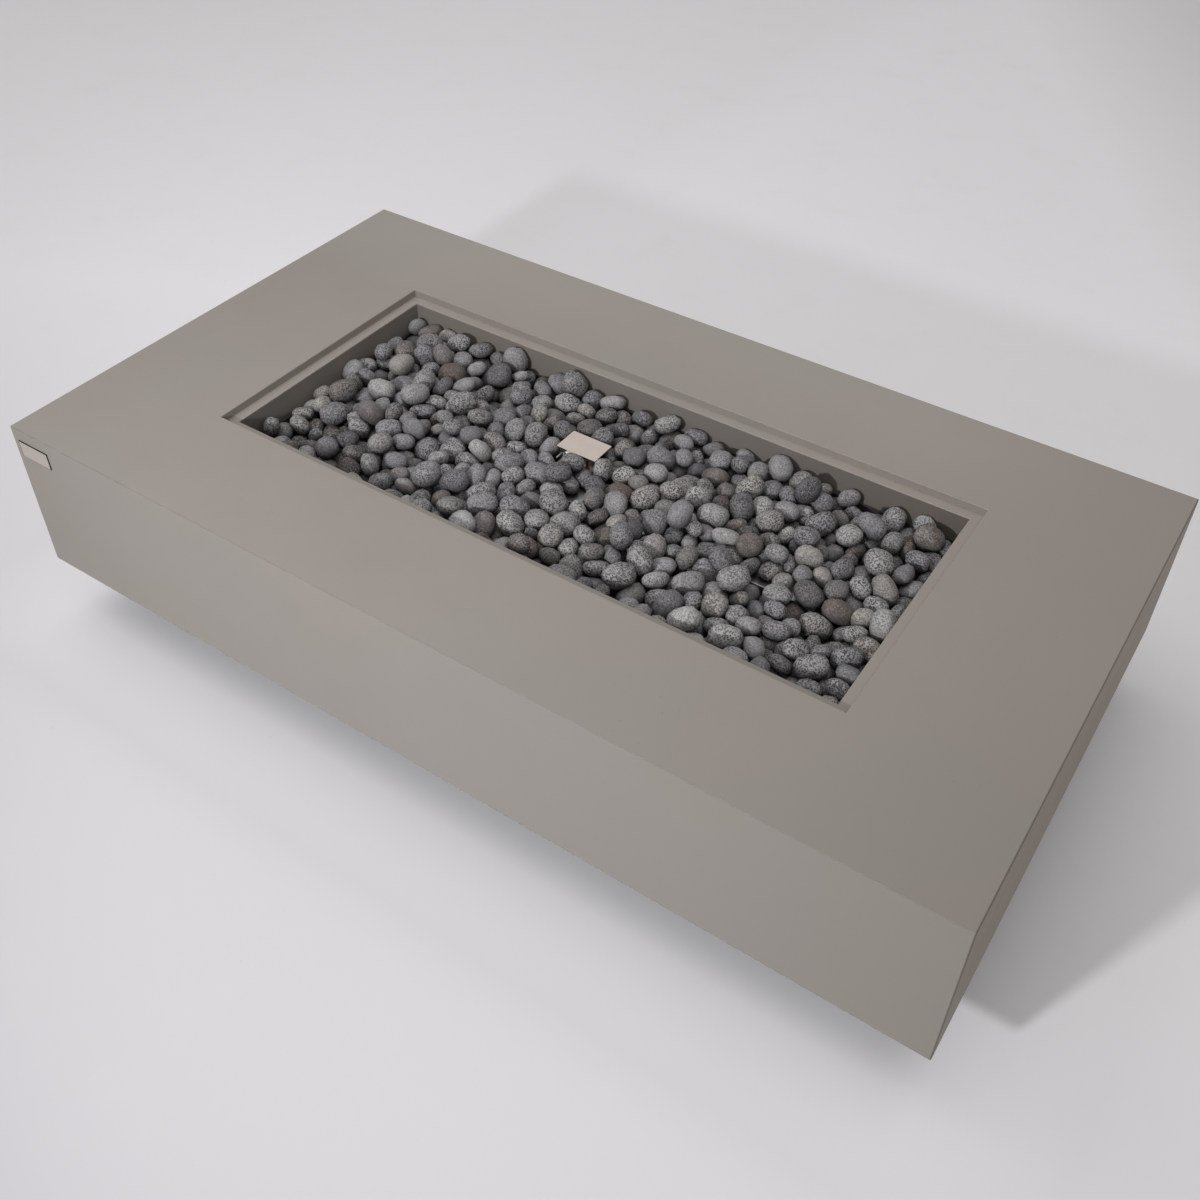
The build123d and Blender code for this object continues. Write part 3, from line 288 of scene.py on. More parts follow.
world = bpy.data.worlds.new("studio_surround")
world.use_nodes = True
scene.world = world
surround = world.node_tree
lights_up = surround.nodes["Background"]
lights_up.inputs["Color"].default_value = (1.0, 0.985, 0.97, 1.0)
lights_up.inputs["Strength"].default_value = 0.24
shows = surround.nodes.new("ShaderNodeBackground")
shows.inputs["Color"].default_value = (*surround_colour, 1.0)
shows.inputs["Strength"].default_value = 1.0
path = surround.nodes.new("ShaderNodeLightPath")
seen = surround.nodes.new("ShaderNodeMath")
seen.operation = "MAXIMUM"
surround.links.new(path.outputs["Is Camera Ray"], seen.inputs[0])
surround.links.new(path.outputs["Is Transmission Ray"], seen.inputs[1])
seen_or_mirrored = surround.nodes.new("ShaderNodeMath")
seen_or_mirrored.operation = "MAXIMUM"
surround.links.new(seen.outputs[0], seen_or_mirrored.inputs[0])
surround.links.new(path.outputs["Is Glossy Ray"], seen_or_mirrored.inputs[1])
choice = surround.nodes.new("ShaderNodeMixShader")
surround.links.new(seen_or_mirrored.outputs[0], choice.inputs[0])
surround.links.new(lights_up.outputs[0], choice.inputs[1])
surround.links.new(shows.outputs[0], choice.inputs[2])
surround.links.new(choice.outputs[0], surround.nodes["World Output"].inputs["Surface"])
scene.view_settings.view_transform = "Standard"
print("three lamps and a surround")

# %% [markdown]
# Cast concrete is a warm grey with soft clouds where the mix dried unevenly, a sandy grain too fine to see
# from a step away, and scattered pinholes, painted dark for the shade inside them. Its sealed face is matte
# with a little sheen. The clouds are slow noises in the table's own coordinates, so they run on from the top
# over the edge and down the skirts. Painted shade darkens both ends and the front right corner, and the right
# end also has a darker cloud of its own. Painted light lightens the back of the table and the front face, and
# painted shade darkens and warms the right face. The walls of the well below the ledge are darkened with
# painted shade, more towards the right end, and so are the sharp arrises, which are found as the places that
# lie close to two of the block's outer faces.

# %% Concrete
warm_dark, warm_light = (0.278, 0.244, 0.220), (0.346, 0.306, 0.279)
cool_dark, cool_light = (0.253, 0.239, 0.219), (0.312, 0.295, 0.273)
mottle_grey = (0.378, 0.349, 0.328)
grain_grey = (0.180, 0.166, 0.153)
pinhole_shade_grey = (0.12, 0.108, 0.096)
end_shade_grey = (0.156, 0.137, 0.117)
back_light_grey = (0.422, 0.380, 0.347)
front_light_tint = (0.420, 0.390, 0.358)
right_shade_tint = (0.364, 0.290, 0.215)
well_shade_grey = (0.104, 0.094, 0.077)
arris_shade_grey = (0.092, 0.084, 0.075)
skin_from, skin_to = 0.0012, 0.0004
arris_from, arris_to = 0.0022, 0.0014
ledge_low_z = top_z - 0.0135
well_shade_half_length, well_shade_half_width, well_shade_edge = 0.510, 0.215, 0.005

concrete = Finish("cast_concrete", 0.62)
concrete.shader.inputs["Specular IOR Level"].default_value = 0.3
where = concrete.place()
along, across, up = concrete.split(where)
clouds = concrete.noise(where, 2.6, 5.0, 0.55)
drifts = concrete.noise(where, 1.3, 2.0)
grain = concrete.noise(where, 700.0, 2.0, 0.7)
patches = concrete.noise(where, 14.0, 4.0, 0.6)
warm = concrete.mix(clouds, warm_dark, warm_light)
cool = concrete.mix(clouds, cool_dark, cool_light)
tinted = concrete.mix(concrete.ramp(drifts - along * 0.14, 0.38, 0.62), warm, cool)
mottled = concrete.mix(concrete.ramp(patches, 0.3, 0.7) * 0.10, tinted, mottle_grey)
grained = concrete.mix(concrete.ramp(grain, 0.35, 0.75) * 0.10, mottled, grain_grey)
sparse = concrete.ramp(concrete.noise(where, 5.0, 2.0), 0.56, 0.66)
pinholes = concrete.ramp(concrete.cells(where, 95.0), 0.075, 0.045) * sparse
# Painted shade: the pinholes are coloured dark for the shade inside them.
pitted = concrete.mix(pinholes * 0.55, grained, pinhole_shade_grey)
# Partly the concrete's own darker cloud at the right end, partly painted shade: both ends and the front right
# corner are darkened.
right_end = concrete.ramp(along * 0.8 - across * 0.35 + clouds * 0.5, 0.42, 1.05)
right_corner = concrete.ramp(along - across * 0.8, 0.75, 1.15)
left_end = concrete.ramp(along, -0.50, -0.74)
ends_shaded = concrete.mix(right_end * 0.36 + right_corner * 0.16 + left_end * 0.12, pitted, end_shade_grey)
# Painted light: the back of the table is lightened, except near the right end.
back_lit = concrete.ramp(across, 0.20, 0.36) * concrete.ramp(along, 0.66, 0.36)
back_lightened = concrete.mix(back_lit * 0.25, ends_shaded, back_light_grey)
front_face = concrete.ramp(across, shell_low.y + skin_from, shell_low.y + skin_to)
right_face = concrete.ramp(along, shell_high.x - skin_from, shell_high.x - skin_to)
# Painted light on the front face.
front_lit = concrete.mix(front_face * 0.20, back_lightened, front_light_tint)
# Painted shade on the right face, darker and warmer.
faces_lit_and_shaded = concrete.mix(right_face * 0.40, front_lit, right_shade_tint)
# Painted shade in the well below the ledge, deeper towards the right end.
in_well = (
    concrete.ramp(up, ledge_low_z, ledge_low_z - 0.001)
    * concrete.ramp(along * along, (well_shade_half_length + well_shade_edge) ** 2, well_shade_half_length ** 2)
    * concrete.ramp(across * across, (well_shade_half_width + well_shade_edge) ** 2, well_shade_half_width ** 2)
)
well_shade = in_well * (0.42 + concrete.ramp(along, 0.0, 0.5) * 0.32)
well_shaded = concrete.mix(well_shade, faces_lit_and_shaded, well_shade_grey)
# Painted shade along the arrises, strongest on the ends.
end_from, end_to = shell_high.x - arris_from, shell_high.x - arris_to
side_from, side_to = shell_high.y - arris_from, shell_high.y - arris_to
at_end = concrete.ramp(along * along, end_from ** 2, end_to ** 2)
at_side = concrete.ramp(across * across, side_from ** 2, side_to ** 2)
at_top = concrete.ramp(up, top_z - arris_from, top_z - arris_to)
end_arris = concrete.greater(at_end * at_side, at_top * at_end)
arris_shade = concrete.greater(end_arris * 0.62, at_top * at_side * 0.30)
concrete.colour(concrete.mix(arris_shade, well_shaded, arris_shade_grey))
concrete.roughness(0.54 + patches * 0.14)
concrete.bump(grain * 0.35 + patches * 0.12 - pinholes, 0.0004, 0.5)
paint(concrete, "concrete_shell")
print("concrete:", len(concrete.tree.nodes), "shader nodes")

# %% [markdown]
# Sheet and bar metals differ in colour, in how fine their brushing is and which way it runs, and in how dull
# they have grown. One function makes them all: a noise stretched along the brushing varies the roughness and
# the bump, and a slow noise stains the colour. The small plate on the front also has a dark border round its
# face, within a millimetre of its edges.


# %% Metals
def brushed(name, colour, stain, roughness, stretch, depth=0.00004):
    """Metal with brush lines that run along the axis of least stretch."""
    metal = Finish(name, roughness, metallic=1.0)
    lines = metal.noise(metal.place(stretch), 1.0, 3.0, 0.6)
    dull = metal.noise(metal.place(), 22.0, 4.0, 0.6)
    metal.colour(metal.mix(metal.ramp(dull, 0.35, 0.75), colour, stain))
    metal.roughness(roughness - 0.08 + lines * 0.12 + dull * 0.08)
    metal.bump(lines, depth, 0.4)
    return metal


along_x = (25, 1600, 1600)
along_y = (1600, 25, 1600)
all_round = (700, 700, 700)
paint(
    brushed("satin_stainless", (0.64, 0.565, 0.502), (0.56, 0.497, 0.444), 0.36, along_x),
    "ignition_shield",
)
paint(
    brushed("folded_stainless", (0.60, 0.57, 0.53), (0.46, 0.42, 0.37), 0.36, along_x),
    "shield_bracket", "probe_clamp", "control_panel",
)
paint(
    brushed("burner_stainless", (0.55, 0.56, 0.58), (0.38, 0.36, 0.36), 0.30, along_x),
    "burner_trough", "burner_deck",
)
paint(brushed("tray_steel", (0.20, 0.19, 0.185), (0.11, 0.10, 0.095), 0.48, along_x), "burner_tray")
plate = brushed("plate_steel", (0.80, 0.715, 0.650), (0.74, 0.660, 0.600), 0.42, along_x)
border_dark = (0.022, 0.021, 0.020)
border_from, border_to = 0.0010, 0.0007
plate_low, plate_high = (Vector(corner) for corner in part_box("corner_plate"))
plate_middle, plate_half = (plate_low + plate_high) / 2, (plate_high - plate_low) / 2
where = plate.node("VectorMath", {"operation": "SUBTRACT"}, {0: plate.place(), 1: plate_middle})
out_x, out_z = plate.split(where, "XZ")
# A dark border round the plate's face, within a millimetre of its edges.
dark_border = plate.greater(
    plate.ramp(out_x * out_x, (plate_half.x - border_from) ** 2, (plate_half.x - border_to) ** 2),
    plate.ramp(out_z * out_z, (plate_half.z - border_from) ** 2, (plate_half.z - border_to) ** 2),
)
face = Signal(plate, plate.shader.inputs["Base Color"].links[0].from_socket)
plate.colour(plate.mix(dark_border, face, border_dark))
paint(plate, "corner_plate")
zinc = brushed("zinc_plate", (0.58, 0.58, 0.56), (0.44, 0.43, 0.40), 0.36, all_round)
paint(
    zinc,
    "plinth_bolts", "slab_bolts", "burner_nipple", "nipple_locknut", "air_mixer", "panel_screws",
    "neck_nut",
)
paint(
    brushed("turned_brass", (0.68, 0.50, 0.22), (0.50, 0.34, 0.14), 0.30, all_round),
    "gas_jet", "gas_elbow", "pipe_nut", "thermocouple_nut", "gas_inlet", "valve_plug", "valve_stem",
)
paint(
    brushed("drawn_copper", (0.42, 0.235, 0.150), (0.27, 0.150, 0.100), 0.40, along_y),
    "thermocouple", "thermocouple_lead",
)
paint(
    brushed("cast_aluminium", (0.56, 0.56, 0.56), (0.44, 0.44, 0.43), 0.46, all_round, 0.00012),
    "gas_pipe", "valve_body", "valve_cap",
)
paint(
    brushed("electrode_steel", (0.42, 0.40, 0.38), (0.25, 0.22, 0.20), 0.42, along_y),
    "spark_electrode",
)
paint(
    brushed("bright_chrome", (0.74, 0.74, 0.75), (0.68, 0.68, 0.69), 0.12, all_round, 0.00001),
    "knob_bezel",
)
print("metals assigned")

# %% [markdown]
# The base frame is powder coated. Cured powder keeps a fine orange-peel skin, so its bump is a soft noise
# about a millimetre across, and dust dulls it in patches. Rubber, plastics, the glazed ceramic and the
# silicone sleeve of the ignition lead follow the same pattern with other numbers.


# %% Coatings, rubber, plastics and ceramic
def moulded(name, dark, light, roughness, grain_scale, depth):
    """Opaque skin with a fine grain and slow patches of a second shade."""
    skin = Finish(name, roughness)
    where = skin.place()
    grain = skin.noise(where, grain_scale, 2.0)
    patches = skin.noise(where, 16.0, 4.0, 0.6)
    skin.colour(skin.mix(skin.ramp(patches, 0.35, 0.75), dark, light))
    skin.roughness(roughness - 0.08 + patches * 0.16)
    skin.bump(grain, depth, 0.6)
    return skin


paint(
    moulded("black_powder_coat", (0.020, 0.020, 0.021), (0.036, 0.035, 0.035), 0.46, 900.0, 0.00012),
    "plinth_front", "plinth_rear", "plinth_left", "plinth_right",
    "frame_posts", "frame_long_rails", "frame_cross_rails",
)
paint(
    moulded("foot_rubber", (0.016, 0.016, 0.016), (0.034, 0.033, 0.032), 0.78, 500.0, 0.0002),
    "feet", "isolation_pads",
)
paint(
    moulded("knob_plastic", (0.022, 0.022, 0.023), (0.032, 0.032, 0.033), 0.42, 1500.0, 0.00008),
    "control_knob",
)
paint(
    moulded("igniter_plastic", (0.018, 0.018, 0.018), (0.026, 0.026, 0.026), 0.26, 1200.0, 0.00003),
    "igniter_housing", "igniter_nut", "igniter_button",
)
paint(
    moulded("glazed_ceramic", (0.76, 0.73, 0.67), (0.66, 0.62, 0.55), 0.28, 800.0, 0.00004),
    "electrode_insulator",
)
paint(
    moulded("lead_sleeve", (0.33, 0.035, 0.022), (0.24, 0.028, 0.020), 0.50, 900.0, 0.00008),
    "ignition_lead",
)
paint(
    moulded("battery_wrap", (0.10, 0.10, 0.11), (0.15, 0.15, 0.16), 0.34, 600.0, 0.00003),
    "igniter_battery",
)
print("coatings assigned")

# %% [markdown]
# Lava pebbles are tumbled until they are smooth lumps, no two alike. Each form starts as a cube, cut twice
# across every face, drawn out to a ball, pushed about at random and squeezed to a pebble's three different
# lengths. Few faces are enough, because smooth shading rounds them and hundreds of copies follow.

# %% Pebble forms
pebble_form_count = 22
long_axis = (0.0315, 0.0475)
few_long = 1.35
middle_share = (0.67, 0.93)
short_share = (0.53, 0.73)
lump = 0.07
evening = 0.35
pour_seed = 23
draw = random.Random(pour_seed)
forms = []
for number in range(pebble_form_count):
    bpy.ops.object.select_all(action="DESELECT")
    bpy.ops.mesh.primitive_cube_add(size=2.0)
    form = bpy.context.object
    bpy.ops.object.mode_set(mode="EDIT")
    bpy.ops.mesh.select_all(action="SELECT")
    bpy.ops.mesh.subdivide(number_cuts=2)
    bpy.ops.object.mode_set(mode="OBJECT")
    ball = form.modifiers.new("ball", "CAST")
    ball.cast_type = "SPHERE"
    ball.factor = 1.0
    ball.radius = 0.0
    ball.use_radius_as_size = False
    ball.size = 1.0
    bpy.ops.object.modifier_apply(modifier="ball")
    bpy.ops.object.mode_set(mode="EDIT")
    bpy.ops.mesh.select_all(action="SELECT")
    bpy.ops.transform.vertex_random(offset=lump, uniform=0.0, normal=1.0, seed=number)
    length = long_axis[0] + (long_axis[1] - long_axis[0]) * draw.random() ** few_long
    width = length * draw.uniform(*middle_share)
    height = length * draw.uniform(*short_share)
    bpy.ops.mesh.vertices_smooth(factor=evening, repeat=1)
    bpy.ops.mesh.normals_make_consistent(inside=False)
    bpy.ops.object.mode_set(mode="OBJECT")
    for axis, size in enumerate((length, width, height)):
        form.scale[axis] = size / form.dimensions[axis]
    bpy.ops.object.transform_apply(location=True, rotation=True, scale=True)
    bpy.ops.object.shade_smooth()
    forms.append(form)
print("forms:", len(forms), "faces each:", len(forms[0].data.polygons))

# %% [markdown]
# A pile that looks poured is easiest to get by pouring it. The pebbles start on a loose grid above the well
# and fall under Blender's rigid bodies on stand-ins for the tray, the burner, the shield and the well's
# walls. The scene is ten times life size while it runs, because the solver is steadier with larger bodies.
# Each pebble gets its own shade, warmth and openness here, as attributes that its finish reads.

# %% Pour the pebbles
pour_scale = 10.0
pour_frames = 110
pebble_count = 632
start_pitch = 0.0495
start_jitter = 0.002
start_tilt = 0.4
first_z, start_lift = ((0.388, 0.058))
shade_middle, shade_spread = 0.46, 0.24
wall_top = 0.95
wall_reach = 1.0
slab_depth = 0.1
sheet = 0.0015
well_gap = 0.003
tray_low, tray_high = (Vector(corner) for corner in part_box("burner_tray"))
trough_low, trough_high = (Vector(corner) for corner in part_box("burner_trough"))
shield_low, shield_high = (Vector(corner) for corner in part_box("ignition_shield"))
rod_low, rod_high = (Vector(corner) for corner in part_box("spark_electrode"))
deck_z = Vector(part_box("burner_deck")[1]).z
floor_z = tray_low.z + sheet
well_half = Vector((tray_high.x + well_gap, tray_high.y + well_gap))
tray_half = Vector((tray_high.x - sheet, tray_high.y - sheet))
stand_ins = []


def stand_in(low, high):
    """Fixed block that the falling pebbles meet."""
    bpy.ops.object.select_all(action="DESELECT")
    bpy.ops.mesh.primitive_cube_add(size=1.0)
    block = bpy.context.object
    low, high = Vector(low) * pour_scale, Vector(high) * pour_scale
    block.location = (low + high) / 2
    block.scale = high - low
    bpy.ops.rigidbody.object_add(type="PASSIVE")
    body = block.rigid_body
    body.collision_shape = "BOX"
    body.friction = 0.7
    body.restitution = 0.0
    body.use_margin = True
    body.collision_margin = 0.0
    stand_ins.append(block)


copies = []
columns = int(2 * tray_half.x / start_pitch)
rows = int(2 * tray_half.y / start_pitch)
for number in range(pebble_count):
    layer, rest = divmod(number, columns * rows)
    row, column = divmod(rest, columns)
    copy = forms[draw.randrange(pebble_form_count)].copy()
    copy.data = copy.data.copy()
    bpy.context.collection.objects.link(copy)
    place = Vector((
        (column - (columns - 1) / 2) * start_pitch + draw.uniform(-start_jitter, start_jitter),
        (row - (rows - 1) / 2) * start_pitch + draw.uniform(-start_jitter, start_jitter),
        first_z + start_lift * layer,
    ))
    spin = Euler((draw.gauss(0, start_tilt), draw.gauss(0, start_tilt), draw.uniform(0, 2 * math.pi)))
    copy.matrix_world = Matrix.LocRotScale(place * pour_scale, spin, Vector((pour_scale,) * 3))
    tone = copy.data.attributes.new("stone_tone", "FLOAT", "POINT")
    warmth = copy.data.attributes.new("stone_warmth", "FLOAT", "POINT")
    openness = copy.data.attributes.new("stone_openness", "FLOAT", "POINT")
    shade = min(1.0, max(0.0, draw.gauss(shade_middle, shade_spread)))
    brown = draw.random()
    bubbly = draw.random()
    for vertex in range(len(copy.data.vertices)):
        tone.data[vertex].value = shade
        warmth.data[vertex].value = brown
        openness.data[vertex].value = bubbly
    copies.append(copy)

bpy.ops.rigidbody.world_add()
stand_in((-wall_reach, -wall_reach, floor_z - slab_depth), (wall_reach, wall_reach, floor_z))
stand_in((trough_low.x, trough_low.y, floor_z), (trough_high.x, trough_high.y, deck_z))
for side in (-1, 1):
    edge_y = sorted((side * trough_high.y, side * (trough_high.y - sheet)))
    edge_x = sorted((side * trough_high.x, side * (trough_high.x - sheet)))
    stand_in((trough_low.x, edge_y[0], floor_z), (trough_high.x, edge_y[1], trough_high.z))
    stand_in((edge_x[0], trough_low.y, floor_z), (edge_x[1], trough_high.y, trough_high.z))
    for inner, low_z, high_z in ((tray_half, floor_z, tray_high.z), (well_half, tray_high.z, wall_top)):
        wall_x = sorted((side * inner.x, side * wall_reach))
        wall_y = sorted((side * inner.y, side * wall_reach))
        stand_in((wall_x[0], -wall_reach, low_z), (wall_x[1], wall_reach, high_z))
        stand_in((-wall_reach, wall_y[0], low_z), (wall_reach, wall_y[1], high_z))
stand_in((shield_low.x, trough_high.y, floor_z), (shield_high.x, shield_high.y, wall_top))
stand_in((rod_low.x, rod_low.y, deck_z), (rod_high.x, trough_high.y, rod_high.z))
bpy.ops.object.select_all(action="DESELECT")
for copy in copies:
    copy.select_set(True)
bpy.context.view_layer.objects.active = copies[0]
bpy.ops.rigidbody.objects_add(type="ACTIVE")
for copy in copies:
    body = copy.rigid_body
    body.collision_shape = "CONVEX_HULL"
    body.friction = 0.55
    body.restitution = 0.0
    body.linear_damping = 0.15
    body.angular_damping = 0.35
    body.use_margin = True
    body.collision_margin = 0.002
pour = scene.rigidbody_world
pour.substeps_per_frame = 10
pour.solver_iterations = 20
pour.point_cache.frame_end = pour_frames
for moment in range(1, pour_frames + 1):
    scene.frame_set(moment)
view = bpy.context.evaluated_depsgraph_get()
rests = [copy.evaluated_get(view).matrix_world.copy() for copy in copies]
bpy.ops.rigidbody.world_remove()
scene.frame_set(1)
for copy, rest in zip(copies, rests):
    copy.matrix_world = rest
for block in stand_ins + forms:
    bpy.data.objects.remove(block)
print("poured", len(copies), "pebbles on", len(stand_ins), "stand-ins")

# %% [markdown]
# The resting places are now baked into each pebble's mesh at life size, strays outside the well are dropped,
# and the rest become one piece, which stands for the CAD layer of pebbles. Each point also keeps how high it
# lies on its own pebble, so that the finish can paint shade on the undersides.

# %% Join the pile
highest_pebble_z = top_z - 0.006
lowest_pebble_z = floor_z - 0.004
kept = []
tops = []
for copy in copies:
    where_to, turn, _ = copy.matrix_world.decompose()
    copy.data.transform(Matrix.LocRotScale(where_to / pour_scale, turn, Vector((1, 1, 1))))
    copy.matrix_world = Matrix.Identity(4)
    low_z = min(vertex.co.z for vertex in copy.data.vertices)
    high_z = max(vertex.co.z for vertex in copy.data.vertices)
    inside = abs(where_to.x) < well_half.x * pour_scale and abs(where_to.y) < well_half.y * pour_scale
    if inside and low_z > lowest_pebble_z and (high_z < highest_pebble_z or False):
        kept.append(copy)
        tops.append(high_z)
        lift = copy.data.attributes.new("stone_lift", "FLOAT", "POINT")
        for number, vertex in enumerate(copy.data.vertices):
            lift.data[number].value = (vertex.co.z - low_z) / (high_z - low_z)
    else:
        bpy.data.objects.remove(copy)
bpy.ops.object.select_all(action="DESELECT")
for copy in kept:
    copy.select_set(True)
bpy.context.view_layer.objects.active = kept[0]
bpy.ops.object.join()
pile = bpy.context.object
pile.name = "lava_pebbles"
bpy.ops.object.shade_smooth()
tops.sort()
print("pile of", len(kept), "median top", round(tops[len(tops) // 2], 4), "highest", round(tops[-1], 4))

# %% [markdown]
# Basalt lava is full of gas bubbles. Tumbling opens them as pores, more on some stones than on others, and
# they are painted dark for the shade inside them. The stone between them shows pale crystal flecks. Every
# pebble has its own tone, from charcoal to light grey, and a few are browned by iron or sandy. Painted shade
# darkens the underside of each pebble and what lies deep in the pile.

# %% Lava finish
greys = ((0.0, (0.115, 0.112, 0.120)), (0.45, (0.250, 0.246, 0.258)), (1.0, (0.425, 0.415, 0.408)))
iron_brown = (0.105, 0.072, 0.053)
sand = (0.330, 0.292, 0.250)
band_grey = (0.10, 0.10, 0.105)
crystal_white = (0.60, 0.59, 0.58)
underside_shade_dark = (0.045, 0.043, 0.043)
deep_shade_dark = (0.030, 0.028, 0.028)
pore_shade_dark = (0.020, 0.018, 0.018)
deep_shade_from_z, deep_shade_to_z = deck_z + 0.020, deck_z - 0.004

lava = Finish("vesicular_lava", 0.82)
attributes = ("stone_tone", "stone_warmth", "stone_openness", "stone_lift")
tone, warmth, openness, lift = (
    lava.node("Attribute", {"attribute_name": name}, output="Fac") for name in attributes
)
own_grain = lava.node("CombineXYZ", inputs={0: tone * 3.1, 1: warmth * 4.7, 2: openness * 5.3})
where = lava.node("VectorMath", {"operation": "ADD"}, {0: lava.place(), 1: own_grain})
height = lava.split(lava.place(), "Z")[0]
bands = lava.noise(where, 45.0, 4.0, 0.6)
crystals = lava.ramp(lava.noise(where, 560.0, 2.0, 0.6), 0.60, 0.70)
uneven = lava.ramp(lava.noise(where, 70.0, 2.0), 0.30, 0.62)
fine_pores = lava.ramp(lava.cells(where, 385.0), 0.50, 0.42) * (0.55 + uneven * 0.45)
wide_pores = lava.ramp(lava.cells(where, 205.0), 0.31, 0.25) * uneven
pores = lava.greater(fine_pores, wide_pores) * (0.40 + lava.ramp(openness, 0.0, 0.75) * 0.60)
stone = lava.node("ValToRGB", {"stops": greys}, {"Fac": tone})
iron = lava.ramp(warmth, 0.80, 0.95) * (0.35 + lava.ramp(bands, 0.35, 0.6) * 0.55)
browned = lava.mix(iron, stone, iron_brown)
sandy = lava.mix(lava.ramp(warmth, 0.20, 0.02) * 0.45, browned, sand)
clouded = lava.mix(lava.ramp(bands, 0.5, 0.8) * 0.4, sandy, band_grey)
flecked = lava.mix(crystals * 0.5, clouded, crystal_white)
# Painted shade on the undersides of the pebbles.
undersides_shaded = lava.mix(lava.ramp(lift, 0.72, 0.22) * 0.72, flecked, underside_shade_dark)
# Painted shade deep in the pile, near the tray.
deep_shaded = lava.mix(lava.ramp(height, deep_shade_from_z, deep_shade_to_z) * 0.75, undersides_shaded, deep_shade_dark)
# Painted shade in the pores.
lava.colour(lava.mix(pores * 0.86, deep_shaded, pore_shade_dark))
lava.roughness(0.74 + pores * 0.2)
lava.bump(0.3 * bands - pores, 0.0011, 0.75)
pile.data.materials.clear()
pile.data.materials.append(lava.material)
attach(pile, "root")
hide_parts("lava_stones")
print("lava:", len(lava.tree.nodes), "shader nodes,", len(pile.data.polygons), "faces")

# %% [markdown]
# Button head screws hold the plinth to its posts. One is modelled on the Z axis: a cylinder whose front face
# is drawn in to a taper, a shank pulled out of its back, a six-sided socket cut by a Boolean, and worn edges
# from a bevel. The twelve in the plinth are copies, turned to face out of their own side.


# %% Plinth bolts
def choose_faces(piece, upwards):
    """Select only the faces that look along Z, up or down, and leave the piece in edit mode."""
    for polygon in piece.data.polygons:
        polygon.select = polygon.normal.z * upwards > 0.99
    bpy.ops.object.mode_set(mode="EDIT")
    bpy.ops.mesh.select_mode(type="FACE")


bolt_head_radius, bolt_head_rise = 0.008, 0.0045
bolt_front_share = 0.82
bolt_shank_radius, bolt_shank_length = 0.004, 0.018
socket_width, socket_depth = 0.005, 0.0026
bpy.ops.object.select_all(action="DESELECT")
bpy.ops.mesh.primitive_cylinder_add(vertices=6, radius=socket_width / math.sqrt(3), depth=2 * socket_depth)
socket = bpy.context.object
socket.location.z = bolt_head_rise
bpy.ops.object.select_all(action="DESELECT")
bpy.ops.mesh.primitive_cylinder_add(
    vertices=32, radius=bolt_head_radius, depth=bolt_head_rise, location=(0, 0, bolt_head_rise / 2)
)
bolt = bpy.context.object
bpy.ops.object.transform_apply(location=True, rotation=True, scale=True)
choose_faces(bolt, 1)
bpy.ops.transform.resize(
    value=(bolt_front_share, bolt_front_share, 1), center_override=(0, 0, bolt_head_rise)
)
bpy.ops.object.mode_set(mode="OBJECT")
choose_faces(bolt, -1)
bpy.ops.mesh.inset(thickness=bolt_head_radius - bolt_shank_radius)
bpy.ops.mesh.extrude_region_move(TRANSFORM_OT_translate={"value": (0, 0, -bolt_shank_length)})
bpy.ops.object.mode_set(mode="OBJECT")
cut = bolt.modifiers.new("socket", "BOOLEAN")
cut.operation = "DIFFERENCE"
cut.object = socket
bpy.ops.object.modifier_apply(modifier="socket")
bpy.data.objects.remove(socket)
worn = bolt.modifiers.new("worn_edges", "BEVEL")
worn.width = 0.0005
worn.segments = 2
worn.limit_method = "ANGLE"
worn.angle_limit = math.radians(40)
bpy.ops.object.modifier_apply(modifier="worn_edges")
bpy.ops.object.shade_smooth_by_angle(angle=math.radians(35))

bolts_high = Vector(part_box("plinth_bolts")[1])
seat_x, seat_y = bolts_high.x - bolt_head_rise, bolts_high.y - bolt_head_rise
long_side_x, long_side_z = (-0.6195, -0.2065, 0.2065, 0.6195), 0.066
short_side_y, short_side_z = (-0.2785, 0.2785), 0.098
bolt_seats = []
for side in (-1, 1):
    for x in long_side_x:
        bolt_seats.append((Vector((x, side * seat_y, long_side_z)), Vector((0, side, 0))))
    for y in short_side_y:
        bolt_seats.append((Vector((side * seat_x, y, short_side_z)), Vector((side, 0, 0))))
bolt_copies = []
for seat, outwards in bolt_seats:
    copy = bolt.copy()
    copy.data = bolt.data.copy()
    bpy.context.collection.objects.link(copy)
    copy.data.transform(Matrix.LocRotScale(seat, outwards.to_track_quat("Z", "Y"), None))
    bolt_copies.append(copy)
bpy.data.objects.remove(bolt)
bpy.ops.object.select_all(action="DESELECT")
for copy in bolt_copies:
    copy.select_set(True)
bpy.context.view_layer.objects.active = bolt_copies[0]
bpy.ops.object.join()
button_heads = bpy.context.object
button_heads.name = "plinth_button_bolts"
button_heads.data.materials.clear()
button_heads.data.materials.append(zinc.material)
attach(button_heads, "root")
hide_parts("plinth_bolts")
print("bolts:", len(bolt_seats), "faces:", len(button_heads.data.polygons))

# %% [markdown]
# The valve's knob has a white line inlaid in its grip, and the bright ring behind it carries three enamel
# ticks: shut at the top, half and full on the way round to the bottom. Each is a thin bar, sunk into its
# face so that only a hair's breadth stands proud, and the line turns with the knob.


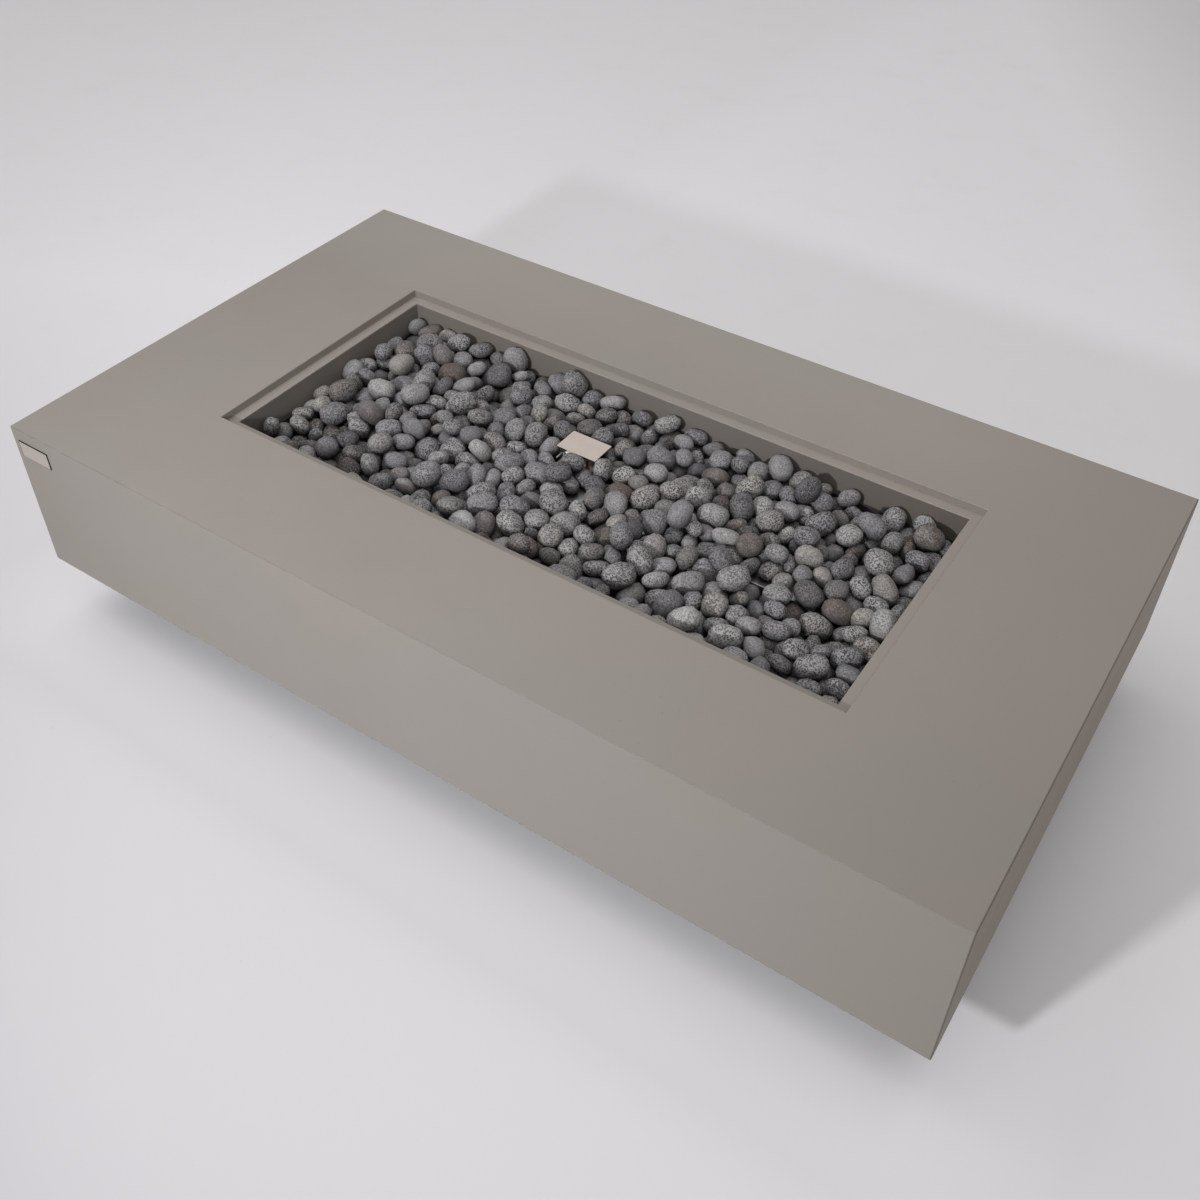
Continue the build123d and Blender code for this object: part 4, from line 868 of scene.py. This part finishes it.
# %% Knob line and ticks
def inlaid_bar(name, middle, size, finish):
    """Thin bar with softened corners, in place."""
    bpy.ops.object.select_all(action="DESELECT")
    bpy.ops.mesh.primitive_cube_add(size=1.0)
    bar = bpy.context.object
    bar.name = name
    bar.scale = size
    bar.location = middle
    bpy.ops.object.transform_apply(location=True, rotation=True, scale=True)
    soft = bar.modifiers.new("soft_corners", "BEVEL")
    soft.width = min(size) * 0.3
    soft.segments = 2
    bpy.ops.object.modifier_apply(modifier="soft_corners")
    bpy.ops.object.shade_smooth_by_angle(angle=math.radians(35))
    bar.data.materials.append(finish.material)
    return bar


knob_low, knob_high = (Vector(corner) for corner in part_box("control_knob"))
ring_face_y = Vector(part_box("knob_bezel")[1]).y
knob_middle = (knob_low + knob_high) / 2
inlay_depth, inlay_proud = 0.0006, 0.0001
line_width, line_length, line_rise = 0.0017, 0.0115, 0.0105
ring_radius = 0.0268
tick_length, tick_width = 0.0036, 0.0011
white_inlay = moulded("white_inlay", (0.72, 0.71, 0.68), (0.66, 0.65, 0.61), 0.46, 900.0, 0.00003)
tick_enamel = moulded("tick_enamel", (0.015, 0.015, 0.015), (0.026, 0.026, 0.026), 0.34, 900.0, 0.00003)
line = inlaid_bar(
    "knob_line",
    (knob_middle.x, knob_high.y + inlay_proud - inlay_depth / 2, knob_middle.z + line_rise),
    (line_width, inlay_depth, line_length),
    white_inlay,
)
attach(line, "knob")
for mark, (x_step, z_step) in {"shut": (0, 1), "half": (1, 0), "full": (0, -1)}.items():
    tick = inlaid_bar(
        "ring_tick_" + mark,
        (
            knob_middle.x + x_step * ring_radius,
            ring_face_y + inlay_proud - inlay_depth / 2,
            knob_middle.z + z_step * ring_radius,
        ),
        (tick_length if x_step else tick_width, inlay_depth, tick_length if z_step else tick_width),
        tick_enamel,
    )
    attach(tick, "root")
print("knob line and three ticks")

# %% [markdown]

# %% End
print("scene dressed")
